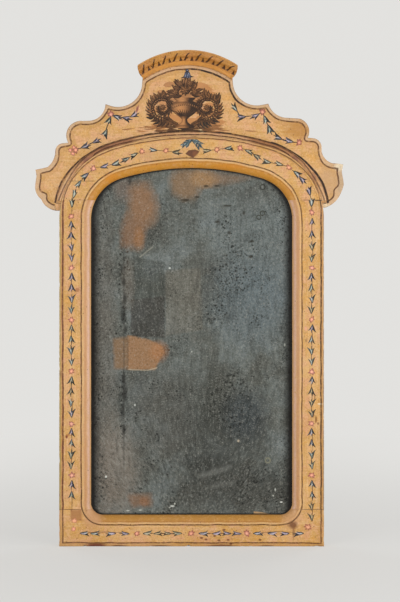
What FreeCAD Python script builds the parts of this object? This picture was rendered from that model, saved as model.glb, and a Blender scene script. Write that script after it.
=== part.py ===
import FreeCAD, Part
import math
import os

import Sketcher

# Wall mirror: a moulded frame with an arched head, a sawn crest with a cornice cap, an old mirror plate
# and the battens, boards and ironwork at the back. X runs to the right, the front faces -Y, Z is up.
# The origin is at the middle of the lower edge, on the back plane that lies against the wall.

# Driving dimensions in millimetres
DIMS = {
    # Frame members
    "frame_width": 530,
    "stile_width": 63,
    "rail_height": 62,
    "frame_depth": 27.5,
    "lip_width": 6,
    "lip_round": 1.6,
    "band_sink": 1.5,
    "rail_joint_rise": 12,
    "head_joint_rise": 38,
    "lap_depth": 13,
    "lap_rise": 44,
    # Arched opening
    "springing_height": 655,
    "arch_rise": 103,
    "crown_swell": 17,
    "corner_radius": 24,
    # Moulding worked round the opening
    "moulding_slope": 14,
    "fillet_width": 3,
    "sight_lip": 2.5,
    # Rebate and what lies in it
    "brad_room": 2.75,
    "rebate_overlap": 8,
    "glass_gap": 1,
    "glass_thickness": 3,
    "foil_thickness": 0.25,
    "plank_gap": 0.5,
    "plank_thickness": 9,
    "left_plank_edge": -135,
    "right_plank_edge": 33,
    # Crest board and its arch moulding
    "ear_overhang": 44,
    "crest_shift": -4.4,
    "crest_foot_rise": 18,
    "crest_rise": 318,
    "crest_depth": 20,
    "joint_gap": 0.15,
    "bead_width": 9,
    "bead_side": 4.6,
    "bead_end_rise": 36,
    # Cornice cap
    "cornice_radius": 179,
    "cornice_height": 28,
    "cornice_projection": 21,
    "cornice_shift": -7.8,
    "cornice_foot_half": 89.5,
    "cornice_flare": 10,
    "cap_drop": 4,
    "neck_inset": 1.5,
    # Battens let into the back
    "batten_depth": 11,
    "centre_batten_width": 56,
    "centre_batten_inset": 6,
    "centre_batten_drop": 29,
    "side_batten_width": 40,
    "side_batten_gap": 5,
    "side_batten_length": 103,
    "side_batten_shift": 67,
    # Hanging ring and its staple
    "staple_drop": 86,
    "staple_wire": 1.2,
    "staple_cover": 2,
    "staple_sink": 0.25,
    "ring_radius": 17,
    "ring_wire": 1.75,
    "ring_gap": 0.6,
    "ring_room": 2.5,
    # Pegs, brads and nails
    "peg_radius": 3.5,
    "peg_grip": 9,
    "brad_radius": 0.8,
    "brad_length": 16,
    "brad_show": 7,
    "nail_radius": 1.1,
    "nail_cover": 3,
    "nail_head_radius": 3,
    "nail_head_height": 1.2,
    "cornice_nail_grip": 11,
    "bead_brad_radius": 0.7,
    "bead_brad_grip": 7,
    "bead_brad_sink": 0.4,
    "bore_gap": 0.05,
    # How far a cutting tool runs past what it cuts
    "overrun": 5,
}

# Roundness of the moulding's slope, as the arc's height over its chord
SLOPE_BOW_SHARE = 0.12
# Roundness of the top of the arch moulding
BEAD_BOW_SHARE = 0.32

# Crest outline in shares of its half width and its rise, up the right side and down the left one.
# The third share is the arc's height over its chord, on the way to the next corner.
CREST_RIGHT_SHARES = (
    (0.964, 0.075, 0.050),
    (1.002, 0.164, 0.016),
    (0.989, 0.239, -0.010),
    (0.999, 0.289, 0.028),
    (0.929, 0.296, -0.181),
    (0.858, 0.393, 0.202),
    (0.803, 0.455, 0),
    (0.769, 0.457, 0.230),
    (0.716, 0.578, 0),
    (0.632, 0.583, -0.160),
    (0.512, 0.672, 0),
    (0.473, 0.665, -0.232),
    (0.282, 0.803, 0),
)
CREST_LEFT_SHARES = (
    (-0.307, 0.802, -0.243),
    (-0.501, 0.656, 0),
    (-0.545, 0.669, -0.210),
    (-0.663, 0.564, 0),
    (-0.692, 0.563, 0.310),
    (-0.787, 0.426, 0),
    (-0.815, 0.423, 0.214),
    (-0.871, 0.371, -0.111),
    (-0.920, 0.273, -0.019),
    (-0.999, 0.256, -0.010),
    (-0.993, 0.214, 0.012),
    (-1.002, 0.145, 0.114),
    (-0.962, 0.069, 0.182),
)
CREST_RIGHT_FOOT_SHARE = 0.016
CREST_LEFT_FOOT_SHARE = 0.002
CREST_RIGHT_FOOT_BOW_SHARE = 0.103

# Front of the cornice in shares of its projection and its height, from its foot to its top edge
CORNICE_SHARES = (
    (0.22, 0, 0),
    (0.22, 0.13, -0.22),
    (0.74, 0.56, 0.20),
    (0.94, 0.76, 0),
    (1, 0.80, 0),
    (1, 1, 0),
)
CORNICE_END_BOW_SHARE = 0.14
CORNICE_STRAIGHT_SHARE = 0.16
CORNICE_SWEEP_DEGREES = 100

# Fastener places, in shares of the member that carries them
RAIL_PEG_SHARES = ((0.25, 0.28), (0.62, 0.72))
HEAD_PEG_SHARES = ((0.36, 0.26), (0.70, 0.62))
STILE_BRAD_SHARES = (0.16, 0.5, 0.84)
RAIL_BRAD_SHARES = (-0.6, 0, 0.6)
HEAD_BRAD_SHARES = (-0.46, 0, 0.46)
SIDE_NAIL_SHARES = ((-0.25, 0.16), (0.25, 0.16), (-0.25, 0.84), (0.25, 0.84))
CENTRE_NAIL_SHARES = ((-0.33, 0.13), (0.33, 0.13), (-0.33, 0.39), (0.33, 0.39), (-0.33, 0.94), (0.33, 0.94))
CORNICE_NAIL_DEGREES = (-26, 0, 26)
CORNICE_NAIL_SHARE = 0.5
BEAD_BRAD_DEGREES = (-11, 0, 11)
BEAD_HAUNCH_DEGREES = 42

DOC = FreeCAD.newDocument("WallMirror")


class Measure:
    """A length, with the words that tie it to the sheet of sizes."""

    def __init__(self, value, words):
        self.value = float(value)
        self.words = words

    def __add__(self, other):
        other = measure(other)
        return Measure(self.value + other.value, "(%s + %s)" % (self.words, other.words))

    def __sub__(self, other):
        other = measure(other)
        return Measure(self.value - other.value, "(%s - %s)" % (self.words, other.words))

    def __rsub__(self, other):
        return measure(other) - self

    def __mul__(self, other):
        other = measure(other)
        return Measure(self.value * other.value, "(%s * %s)" % (self.words, other.words))

    def __truediv__(self, other):
        other = measure(other)
        return Measure(self.value / other.value, "(%s / %s)" % (self.words, other.words))

    def __neg__(self):
        return Measure(-self.value, "(-1 * %s)" % self.words)

    __radd__ = __add__
    __rmul__ = __mul__


def measure(number):
    """A plain number as a measure."""
    return number if isinstance(number, Measure) else Measure(number, repr(number))


def root(square):
    return Measure(math.sqrt(square.value), "sqrt(%s)" % square.words)


def make_sheet():
    """Write the sizes into the sheet and return them as measures."""
    sheet = DOC.addObject("Spreadsheet::Sheet", "Dims")
    sizes = {}
    for row, (name, value) in enumerate(DIMS.items(), start=1):
        sheet.set("A%d" % row, name)
        sheet.set("B%d" % row, str(value))
        sheet.setAlias("B%d" % row, name)
        sizes[name] = Measure(value, "Dims." + name)
    DOC.recompute()
    return sizes


D = make_sheet()
ZERO = measure(0)

# Sizes that several pieces share
frame_half = D["frame_width"] / 2
sight_half = frame_half - D["stile_width"]
crown_height = D["springing_height"] + D["arch_rise"]
haunch_radius = D["arch_rise"] - D["crown_swell"]
haunch_place = sight_half - haunch_radius
# The crown arc meets both haunch arcs on the lines through their centres
crown_radius = (
    haunch_place * haunch_place + D["arch_rise"] * D["arch_rise"] - haunch_radius * haunch_radius
) / (D["crown_swell"] * 2)
crown_centre = crown_height - crown_radius
rail_joint = D["rail_height"] + D["rail_joint_rise"]
head_joint = D["springing_height"] + D["head_joint_rise"]
moulding_width = D["moulding_slope"] + D["fillet_width"]
foil_level = D["brad_room"] + D["plank_thickness"]
glass_level = foil_level + D["foil_thickness"]
rebate_depth = glass_level + D["glass_thickness"]
sight_edge = rebate_depth + D["sight_lip"]
crest_half = frame_half + D["ear_overhang"]
crest_foot = D["springing_height"] + D["crest_foot_rise"]
crest_top = crest_foot + D["crest_rise"]
crest_seat = D["stile_width"] + D["joint_gap"]
cornice_centre = crest_top - D["cornice_radius"]
centre_batten_low = crown_height + D["rebate_overlap"] + D["centre_batten_inset"]
centre_batten_high = crest_top - D["centre_batten_drop"]
side_batten_place = haunch_place + D["side_batten_shift"]
side_batten_low = head_joint + D["lap_rise"] + D["side_batten_gap"]
side_batten_high = side_batten_low + D["side_batten_length"]
staple_bow = D["ring_wire"] + D["ring_gap"] + D["staple_wire"]
ring_axis_depth = staple_bow + D["staple_wire"] + D["staple_sink"]
staple_height = crest_top - D["staple_drop"]
bead_end = D["springing_height"] + D["bead_end_rise"]
bead_height = D["bead_side"] + D["bead_width"] * BEAD_BOW_SHARE


def arc_radius(start, end, share):
    """Radius of the arc between two corners whose height over its chord is the share."""
    across = end[0] - start[0]
    up = end[1] - start[1]
    chord = root(across * across + up * up)
    return chord * (1 / (8 * share) + share / 2)


def bowed(points):
    """Corners with arc radii, from points that give each arc's height over its chord."""
    corners = []
    for start, end in zip(points, points[1:]):
        corners.append((start[0], start[1], arc_radius(start, end, start[2]) if start[2] else None))
    return corners + [(points[-1][0], points[-1][1], None)]


def arc_edge(start, end, radius):
    """Arc between two points, anticlockwise for a positive radius, and which ends it starts and stops at."""
    middle = (start + end) / 2
    along = end - start
    reach = math.sqrt(max(radius * radius - along.Length * along.Length / 4, 0))
    side = FreeCAD.Vector(-along.y, along.x, 0).normalize()
    centre = middle + side * math.copysign(reach, radius)
    first, last = (start, end) if radius > 0 else (end, start)
    circle = Part.Circle(centre, FreeCAD.Vector(0, 0, 1), abs(radius))
    arc = Part.ArcOfCircle(circle, circle.parameter(first), circle.parameter(last))
    return arc, (1, 2) if radius > 0 else (2, 1)


def bind(sketch, constraint, words):
    number = sketch.addConstraint(constraint)
    sketch.setExpression("Constraints[%d]" % number, words)


def draw(sketch, corners, closed=True):
    """Draw lines and arcs from corner to corner. A corner is (across, up, radius of the arc to the next or None)."""
    begun = sketch.GeometryCount
    steps = len(corners) if closed else len(corners) - 1
    ends = []
    for step in range(steps):
        across, up, radius = corners[step]
        following = corners[(step + 1) % len(corners)]
        start = FreeCAD.Vector(across.value, up.value, 0)
        end = FreeCAD.Vector(following[0].value, following[1].value, 0)
        if radius is None:
            edge, pair = Part.LineSegment(start, end), (1, 2)
        else:
            edge, pair = arc_edge(start, end, radius.value)
        sketch.addGeometry(edge, False)
        ends.append(pair)
    for step in range(steps):
        edge = begun + step
        across, up, radius = corners[step]
        bind(sketch, Sketcher.Constraint("DistanceX", edge, ends[step][0], across.value), across.words)
        bind(sketch, Sketcher.Constraint("DistanceY", edge, ends[step][0], up.value), up.words)
        if radius is not None:
            size = radius if radius.value > 0 else -radius
            bind(sketch, Sketcher.Constraint("Radius", edge, size.value), size.words)
        if closed or step + 1 < steps:
            following = (step + 1) % steps
            sketch.addConstraint(
                Sketcher.Constraint("Coincident", edge, ends[step][1], begun + following, ends[following][0])
            )
    if not closed:
        across, up, radius = corners[-1]
        edge = begun + steps - 1
        bind(sketch, Sketcher.Constraint("DistanceX", edge, ends[-1][1], across.value), across.words)
        bind(sketch, Sketcher.Constraint("DistanceY", edge, ends[-1][1], up.value), up.words)


def rectangle(left, low, right, high):
    return [(left, low, None), (right, low, None), (right, high, None), (left, high, None)]


def new_body(name):
    body = DOC.addObject("PartDesign::Body", name)
    body.Label = name
    return body


def new_sketch(body, name, plane, outlines, level=ZERO, closed=True):
    """Sketch on one of the body's origin planes, moved out of the plane by the level."""
    sketch = body.newObject("Sketcher::SketchObject", name)
    found = [item for item in body.Origin.OriginFeatures if item.Role == plane]
    sketch.AttachmentSupport = (found[0], [""])
    sketch.MapMode = "FlatFace"
    sketch.AttachmentOffset = FreeCAD.Placement(FreeCAD.Vector(0, 0, level.value), FreeCAD.Rotation())
    sketch.setExpression("AttachmentOffset.Base.z", level.words)
    for outline in outlines:
        draw(sketch, outline, closed)
    return sketch


def pad(body, name, outlines, depth, level=ZERO):
    """Raise outlines of the front view towards the front."""
    feature = body.newObject("PartDesign::Pad", name)
    feature.Profile = new_sketch(body, name + "_sketch", "XZ_Plane", outlines, level)
    feature.Length = depth.value
    feature.setExpression("Length", depth.words)
    return feature


def pocket(body, name, outlines, depth, level=ZERO, from_back=True):
    """Sink outlines of the front view, from the back towards the front or the other way."""
    feature = body.newObject("PartDesign::Pocket", name)
    feature.Profile = new_sketch(body, name + "_sketch", "XZ_Plane", outlines, level)
    feature.Length = depth.value
    feature.setExpression("Length", depth.words)
    feature.Reversed = from_back
    return feature


def sweep(body, name, kind, profile, spine):
    feature = body.newObject("PartDesign::" + kind, name)
    feature.Profile = profile
    feature.Spine = (spine, [""])
    return feature


def round_front(body, base, radius, depth):
    """Round the outer edges of the front face."""
    DOC.recompute()
    near = D["bore_gap"].value
    faces = [
        face
        for face in base.Shape.Faces
        if max(abs(face.BoundBox.YMax + depth.value), abs(face.BoundBox.YMin + depth.value)) < near
    ]
    wanted = [edge for face in faces for edge in face.OuterWire.Edges]
    names = [
        "Edge%d" % number
        for number, edge in enumerate(base.Shape.Edges, start=1)
        if any(edge.isSame(other) for other in wanted)
    ]
    feature = body.newObject("PartDesign::Fillet", base.Name + "_round")
    feature.Base = (base, names)
    feature.Radius = radius.value
    feature.setExpression("Radius", radius.words)


def place(item, across, depth, up, axis=(0, 0, 1), degrees=0):
    """Put an object where the measures say, turned about an axis."""
    item.Placement = FreeCAD.Placement(
        FreeCAD.Vector(across.value, -depth.value, up.value), FreeCAD.Rotation(FreeCAD.Vector(*axis), degrees)
    )
    item.setExpression("Placement.Base.x", across.words)
    item.setExpression("Placement.Base.y", (-depth).words)
    item.setExpression("Placement.Base.z", up.words)


def box(name, left, right, front, back, low, high):
    """Block between two places across, two depths and two heights."""
    block = DOC.addObject("Part::Box", name)
    for prop, size in (("Length", right - left), ("Width", front - back), ("Height", high - low)):
        setattr(block, prop, size.value)
        block.setExpression(prop, size.words)
    place(block, left, front, low)
    return block


def cylinder(name, radius, height, across, depth, up, axis=(0, 0, 1), degrees=0):
    item = DOC.addObject("Part::Cylinder", name)
    for prop, size in (("Radius", radius), ("Height", height)):
        setattr(item, prop, size.value)
        item.setExpression(prop, size.words)
    place(item, across, depth, up, axis, degrees)
    return item


def join(name, items):
    fused = DOC.addObject("Part::MultiFuse", name)
    fused.Shapes = items
    return fused


def group(name, items):
    """Separate solids that share one node."""
    together = DOC.addObject("Part::Compound", name)
    together.Links = items
    return together


def common(name, base, tool):
    shared = DOC.addObject("Part::Common", name)
    shared.Base = base
    shared.Tool = tool
    return shared


def cut(name, base, tool):
    rest = DOC.addObject("Part::Cut", name)
    rest.Base = base
    rest.Tool = tool
    rest.Label = name
    return rest


# Outlines of the opening and the frame


def arch(offset):
    """Right springing, the two ends of the crown arc and the left springing, moved out by the offset."""
    half = sight_half + offset
    share = (haunch_radius + offset) / (crown_radius - haunch_radius)
    across = haunch_place + haunch_place * share
    up = D["springing_height"] + (D["springing_height"] - crown_centre) * share
    return [
        (half, D["springing_height"], haunch_radius + offset),
        (across, up, crown_radius + offset),
        (-across, up, haunch_radius + offset),
        (-half, D["springing_height"], None),
    ]


def arched_plate(offset, foot):
    """Arch on straight sides with square lower corners."""
    half = sight_half + offset
    return [(-half, foot, None), (half, foot, None)] + arch(offset)


def sight_outline(offset):
    """The opening, with its rounded lower corners, moved out by the offset."""
    half = sight_half + offset
    inner = sight_half - D["corner_radius"]
    corner_top = D["rail_height"] + D["corner_radius"]
    low = D["rail_height"] - offset
    radius = D["corner_radius"] + offset
    return [(-inner, low, None), (inner, low, radius), (half, corner_top, None)] + arch(offset) + [
        (-half, corner_top, radius)
    ]


def haunch_reach(offset, height):
    """How far the outside of a haunch lies from the middle at a height."""
    radius = haunch_radius + offset
    rise = height - D["springing_height"]
    return haunch_place + root(radius * radius - rise * rise)


def mirrored(side, amount):
    return amount if side > 0 else -amount


# Frame members


def side_batten_span(side):
    middle = mirrored(side, side_batten_place)
    return middle - D["side_batten_width"] / 2, middle + D["side_batten_width"] / 2


def batten_outlines():
    """The three housings in the back of the head and the crest."""
    half = D["centre_batten_width"] / 2
    outlines = [rectangle(-half, centre_batten_low, half, centre_batten_high)]
    for side in (-1, 1):
        left, right = side_batten_span(side)
        outlines.append(rectangle(left, side_batten_low, right, side_batten_high))
    return outlines


def make_frame_stock():
    """The whole moulded frame before it is divided at its joints."""
    body = new_body("frame_stock")
    depth = D["frame_depth"]
    board = pad(body, "frame_board", [arched_plate(D["stile_width"], ZERO), sight_outline(ZERO)], depth)
    round_front(body, board, D["lip_round"], depth)
    lip = D["stile_width"] - D["lip_width"]
    band = [arched_plate(lip, D["lip_width"]), sight_outline(moulding_width)]
    pocket(body, "sunk_band", band, D["band_sink"], depth, from_back=False)
    edge = D["rail_height"]
    front = -depth
    past = D["overrun"] / 5
    foot = (-sight_edge, edge)
    top = (front, edge - D["moulding_slope"])
    slope = [
        (front - past, edge + past, None),
        (-sight_edge, edge + past, None),
        (foot[0], foot[1], arc_radius(foot, top, SLOPE_BOW_SHARE)),
        (top[0], top[1], None),
        (front - past, top[1], None),
    ]
    spine = new_sketch(body, "sight_line", "XZ_Plane", [sight_outline(ZERO)])
    profile = new_sketch(body, "slope_profile", "YZ_Plane", [slope])
    sweep(body, "sight_moulding", "SubtractivePipe", profile, spine)
    rebate_foot = D["rail_height"] - D["rebate_overlap"]
    pocket(body, "rebate", [arched_plate(D["rebate_overlap"], rebate_foot)], rebate_depth)
    pocket(body, "frame_housings", batten_outlines(), D["batten_depth"])
    return body


def lap_blocks(side):
    """Blocks that hold the tongues of one stile, below in the rail and above in the head."""
    reach = frame_half + D["overrun"]
    left, right = (-reach, ZERO) if side < 0 else (ZERO, reach)
    name = "left" if side < 0 else "right"
    back = -D["overrun"]
    inner = sight_half + D["rebate_overlap"]
    low_left, low_right = (-reach, -inner) if side < 0 else (inner, reach)
    low = box(name + "_low_lap", low_left, low_right, D["lap_depth"], back, -D["overrun"], rail_joint)
    top = head_joint + D["lap_rise"]
    high = box(name + "_high_lap", left, right, D["lap_depth"], back, head_joint, top)
    return low, high


def make_frame_members(stock, bores):
    """Rail, stiles and head, with the stiles' tongues lapped behind the rail and the head."""
    reach = frame_half + D["overrun"]
    front = D["frame_depth"] + D["overrun"]
    back = -D["overrun"]
    laps = {side: lap_blocks(side) for side in (-1, 1)}
    nodes = []
    for side, name in ((-1, "left_stile"), (1, "right_stile")):
        left, right = (-reach, ZERO) if side < 0 else (ZERO, reach)
        span = box(name + "_span", left, right, front, back, rail_joint, head_joint)
        blank = common(name + "_blank", stock, join(name + "_blocks", [span, *laps[side]]))
        nodes.append(cut(name, blank, bores))
    rail_span = box("rail_span", -reach, reach, front, back, -D["overrun"], rail_joint)
    head_span = box("head_span", -reach, reach, front, back, head_joint, crown_height + reach)
    for name, span, which in (("bottom_rail", rail_span, 0), ("arched_head", head_span, 1)):
        tools = join(name + "_tools", [laps[-1][which], laps[1][which], bores])
        nodes.append(cut(name, common(name + "_blank", stock, span), tools))
    return nodes


# Crest


def cornice_seat():
    """The two upper corners behind the cornice, and the arc between them."""
    radius = D["cornice_radius"] - D["cap_drop"]
    half = D["cornice_foot_half"] - D["neck_inset"]
    up = cornice_centre + root(radius * radius - half * half)
    return [(D["cornice_shift"] + half, up, radius), (D["cornice_shift"] - half, up, None)]


def crest_outline():
    """The sawn outline, then the arch that seats on the head."""
    across = lambda share: D["crest_shift"] + crest_half * share
    up = lambda share: crest_foot + D["crest_rise"] * share
    right_up = up(CREST_RIGHT_FOOT_SHARE)
    left_up = up(CREST_LEFT_FOOT_SHARE)
    right = [(across(x), up(z), bow) for x, z, bow in CREST_RIGHT_SHARES]
    left = [(across(x), up(z), bow) for x, z, bow in CREST_LEFT_SHARES]
    corners = bowed([(haunch_reach(crest_seat, right_up), right_up, CREST_RIGHT_FOOT_BOW_SHARE)] + right)
    corners += cornice_seat()
    corners += bowed(left + [(-haunch_reach(crest_seat, left_up), left_up, 0)])
    seat = arch(crest_seat)
    corners[-1] = (corners[-1][0], corners[-1][1], -seat[0][2])
    corners.append((seat[2][0], seat[2][1], -seat[1][2]))
    corners.append((seat[1][0], seat[1][1], -seat[0][2]))
    return corners


def make_crest_board(bores):
    body = new_body("crest_blank")
    pad(body, "crest_pad", [crest_outline()], D["crest_depth"])
    pocket(body, "crest_housings", batten_outlines(), D["batten_depth"])
    return cut("crest_board", body, bores)


def make_arch_moulding(bores):
    """Rounded bead planted on the crest, round the outside of the head."""
    body = new_body("arch_moulding_blank")
    seat = arch(crest_seat)
    foot = haunch_reach(crest_seat, bead_end)
    path = [
        (foot, bead_end, seat[0][2]),
        seat[1],
        seat[2],
        (-foot, bead_end, None),
    ]
    spine = new_sketch(body, "bead_line", "XZ_Plane", [path], closed=False)
    low = crown_height + crest_seat
    high = low + D["bead_width"]
    base = -D["crest_depth"]
    side = base - D["bead_side"]
    radius = arc_radius((side, high), (side, low), BEAD_BOW_SHARE)
    section = [(base, low, None), (base, high, None), (side, high, radius), (side, low, None)]
    profile = new_sketch(body, "bead_profile", "YZ_Plane", [section])
    sweep(body, "bead", "AdditivePipe", profile, spine)
    return cut("arch_moulding", body, bores)


def make_cornice(bores):
    """Cap moulding turned about the centre of its arc, its ends cut to a flared curve."""
    body = new_body("cornice_blank")
    foot = D["cornice_radius"] - D["cornice_height"]
    base = -D["crest_depth"]
    points = [(base - D["cornice_projection"] * out, foot + D["cornice_height"] * up, -bow)
              for out, up, bow in CORNICE_SHARES]
    corners = [(base, foot, None)] + bowed(points) + [(base, D["cornice_radius"], None)]
    turned = body.newObject("PartDesign::Revolution", "cornice_turn")
    sketch = new_sketch(body, "cornice_profile", "YZ_Plane", [corners])
    turned.Profile = sketch
    turned.ReferenceAxis = (sketch, ["H_Axis"])
    turned.Midplane = True
    turned.Angle = CORNICE_SWEEP_DEGREES
    half = D["cornice_foot_half"] + D["cornice_flare"]
    top = root(D["cornice_radius"] * D["cornice_radius"] - half * half)
    bottom = root(foot * foot - D["cornice_foot_half"] * D["cornice_foot_half"])
    straight = bottom + (top - bottom) * CORNICE_STRAIGHT_SHARE
    far = D["cornice_radius"]
    flare = arc_radius((D["cornice_foot_half"], straight), (half, top), CORNICE_END_BOW_SHARE)
    ends = []
    for side in (-1, 1):
        bend = flare if side > 0 else -flare
        ends.append([
            (mirrored(side, D["cornice_foot_half"]), ZERO, None),
            (mirrored(side, D["cornice_foot_half"]), straight, bend),
            (mirrored(side, half), top, None),
            (mirrored(side, half), far, None),
            (mirrored(side, far), far, None),
            (mirrored(side, far), ZERO, None),
        ])
    depth = D["crest_depth"] + D["cornice_projection"] + D["overrun"]
    pocket(body, "cornice_ends", ends, depth)
    place(body, D["cornice_shift"], ZERO, cornice_centre)
    return cut("crest_cornice", body, bores)


# Glass, foil and back boards


def make_plate(name, inset, thickness, level):
    """Sheet cut to the arch of the rebate, with a gap all round."""
    body = new_body(name)
    offset = D["rebate_overlap"] - inset
    foot = D["rail_height"] - offset
    pad(body, name + "_sheet", [arched_plate(offset, foot)], thickness, level)
    return body


def make_back_boards():
    """Three upright planks that meet at two joints."""
    reach = frame_half
    top = crown_height + reach
    gap = D["plank_gap"] / 2
    spans = (
        ("left_back_board", None, D["left_plank_edge"] - gap),
        ("centre_back_board", D["left_plank_edge"] + gap, D["right_plank_edge"] - gap),
        ("right_back_board", D["right_plank_edge"] + gap, None),
    )
    nodes = []
    for name, left, right in spans:
        body = make_plate(name, D["glass_gap"], D["plank_thickness"], D["brad_room"])
        waste = []
        if left is not None:
            waste.append(rectangle(-reach, ZERO, left, top))
        if right is not None:
            waste.append(rectangle(right, ZERO, reach, top))
        pocket(body, name + "_sides", waste, rebate_depth)
        nodes.append(body)
    return nodes


# Battens, staple and ring


def make_battens(bores):
    half = D["centre_batten_width"] / 2
    centre = new_body("centre_batten_blank")
    outline = rectangle(-half, centre_batten_low, half, centre_batten_high)
    pad(centre, "centre_batten_pad", [outline], D["batten_depth"])
    wide = D["ring_radius"] + D["ring_wire"] + D["ring_room"]
    tall = D["ring_radius"] + wide
    room = rectangle(-wide, staple_height - tall, wide, staple_height + tall)
    pocket(centre, "ring_recess", [room], ring_axis_depth + D["ring_wire"] + D["ring_gap"])
    nodes = [cut("centre_batten", centre, bores)]
    for side, name in ((-1, "left_batten"), (1, "right_batten")):
        body = new_body(name + "_blank")
        left, right = side_batten_span(side)
        outline = rectangle(left, side_batten_low, right, side_batten_high)
        pad(body, name + "_pad", [outline], D["batten_depth"])
        nodes.append(cut(name, body, bores))
    return nodes


def staple_legs(name, gap):
    """The two legs of the staple, or their holes when there is a gap."""
    legs = []
    for side in (-1, 1):
        up = staple_height + mirrored(side, staple_bow)
        radius = D["staple_wire"] + gap
        length = D["crest_depth"] - ring_axis_depth - D["staple_cover"] + gap
        legs.append(cylinder("%s_leg%d" % (name, len(legs)), radius, length, ZERO, ring_axis_depth, up, (1, 0, 0), 90))
    return legs


def make_staple():
    bow = DOC.addObject("Part::Torus", "staple_bow")
    for prop, size in (("Radius1", staple_bow), ("Radius2", D["staple_wire"])):
        setattr(bow, prop, size.value)
        bow.setExpression(prop, size.words)
    bow.Angle3 = 180
    place(bow, ZERO, ring_axis_depth, staple_height)
    bow.Placement.Rotation = FreeCAD.Rotation(
        FreeCAD.Vector(0, 0, -1), FreeCAD.Vector(0, 1, 0), FreeCAD.Vector(1, 0, 0), "XYZ"
    )
    staple = join("ring_staple", [bow, *staple_legs("staple", ZERO)])
    staple.Label = "ring_staple"
    return staple


def make_ring():
    """Ring of round wire that hangs from the staple."""
    ring = DOC.addObject("Part::Torus", "hanging_ring")
    for prop, size in (("Radius1", D["ring_radius"]), ("Radius2", D["ring_wire"])):
        setattr(ring, prop, size.value)
        ring.setExpression(prop, size.words)
    place(ring, ZERO, ring_axis_depth, staple_height - D["ring_radius"], (1, 0, 0), 90)
    return ring


# Pegs, brads and nails: each function makes the solids, or their holes when there is a gap


def pegs(gap):
    items = []
    length = D["lap_depth"] + D["peg_grip"] + gap
    lap = frame_half - sight_half - D["rebate_overlap"]
    for side in (-1, 1):
        places = [(frame_half - lap * out, rail_joint * up) for out, up in RAIL_PEG_SHARES]
        for out, up in HEAD_PEG_SHARES:
            height = head_joint + D["lap_rise"] * up
            outside = haunch_reach(D["stile_width"], height)
            inside = haunch_reach(D["rebate_overlap"], height)
            places.append((outside - (outside - inside) * out, height))
        for across, up in places:
            name = "peg%d" % len(items) if gap is ZERO else "peg_bore%d" % len(items)
            items.append(cylinder(name, D["peg_radius"] + gap, length, mirrored(side, across), ZERO, up, (1, 0, 0), 90))
    return items


def brads(gap):
    """Headless brads driven into the walls of the rebate, lying on the back boards."""
    items = []
    depth = D["brad_room"] - D["brad_radius"] - D["bore_gap"]
    radius = D["brad_radius"] + gap
    word = "brad" if gap is ZERO else "brad_bore"
    inside = D["brad_length"] - D["brad_show"]
    wall = sight_half + D["rebate_overlap"]
    length = D["brad_length"] + gap
    opening = D["springing_height"] - D["rail_height"]
    for side in (-1, 1):
        for share in STILE_BRAD_SHARES:
            up = D["rail_height"] + opening * share
            end = mirrored(side, wall + inside + gap)
            turn = -90 if side > 0 else 90
            items.append(cylinder(word + str(len(items)), radius, length, end, depth, up, (0, 1, 0), turn))
    foot = D["rail_height"] - D["rebate_overlap"] - inside - gap
    for share in RAIL_BRAD_SHARES:
        items.append(cylinder(word + str(len(items)), radius, length, sight_half * share, depth, foot))
    for share in HEAD_BRAD_SHARES:
        across = haunch_place * share
        reach = crown_radius + D["rebate_overlap"]
        up = crown_centre + root(reach * reach - across * across) - D["brad_show"]
        items.append(cylinder(word + str(len(items)), radius, length, across, depth, up))
    return items


def nail(name, across, up, length, gap):
    """Nail driven from the back, its flat head let in flush."""
    past = D["overrun"] if gap is not ZERO else ZERO
    shank = cylinder(name + "_shank", D["nail_radius"] + gap, length + gap, across, ZERO, up, (1, 0, 0), 90)
    head = cylinder(
        name + "_head",
        D["nail_head_radius"] + gap,
        D["nail_head_height"] + gap + past,
        across,
        -past,
        up,
        (1, 0, 0),
        90,
    )
    return join(name, [shank, head])


def batten_nails(gap):
    items = []
    word = "batten_nail" if gap is ZERO else "batten_bore"
    length = D["crest_depth"] - D["nail_cover"]
    rise = side_batten_high - side_batten_low
    for side in (-1, 1):
        for out, height in SIDE_NAIL_SHARES:
            across = mirrored(side, side_batten_place) + D["side_batten_width"] * out
            up = side_batten_low + rise * height
            items.append(nail(word + str(len(items)), across, up, length, gap))
    rise = centre_batten_high - centre_batten_low
    for out, height in CENTRE_NAIL_SHARES:
        up = centre_batten_low + rise * height
        items.append(nail(word + str(len(items)), D["centre_batten_width"] * out, up, length, gap))
    return items


def cornice_nails(gap):
    items = []
    word = "cornice_nail" if gap is ZERO else "cornice_bore"
    reach = D["cornice_radius"] - D["cornice_height"] * CORNICE_NAIL_SHARE
    for degrees in CORNICE_NAIL_DEGREES:
        across = D["cornice_shift"] + reach * math.sin(math.radians(degrees))
        up = cornice_centre + reach * math.cos(math.radians(degrees))
        items.append(nail(word + str(len(items)), across, up, D["crest_depth"] + D["cornice_nail_grip"], gap))
    return items


def bead_brads(gap):
    """Small brads through the arch moulding, punched in from the front."""
    items = []
    word = "bead_brad" if gap is ZERO else "bead_bore"
    middle = crest_seat + D["bead_width"] / 2
    places = []
    for degrees in BEAD_BRAD_DEGREES:
        reach = crown_radius + middle
        across = reach * math.sin(math.radians(degrees))
        places.append((across, crown_centre + reach * math.cos(math.radians(degrees))))
    for side in (-1, 1):
        reach = haunch_radius + middle
        out = haunch_place + reach * math.cos(math.radians(BEAD_HAUNCH_DEGREES))
        up = D["springing_height"] + reach * math.sin(math.radians(BEAD_HAUNCH_DEGREES))
        places.append((mirrored(side, out), up))
    past = D["overrun"] if gap is not ZERO else ZERO
    top = D["crest_depth"] + bead_height - D["bead_brad_sink"]
    length = bead_height - D["bead_brad_sink"] + D["bead_brad_grip"] + gap + past
    for across, up in places:
        start = top + past
        radius = D["bead_brad_radius"] + gap
        items.append(cylinder(word + str(len(items)), radius, length, across, start, up, (1, 0, 0), -90))
    return items


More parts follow.
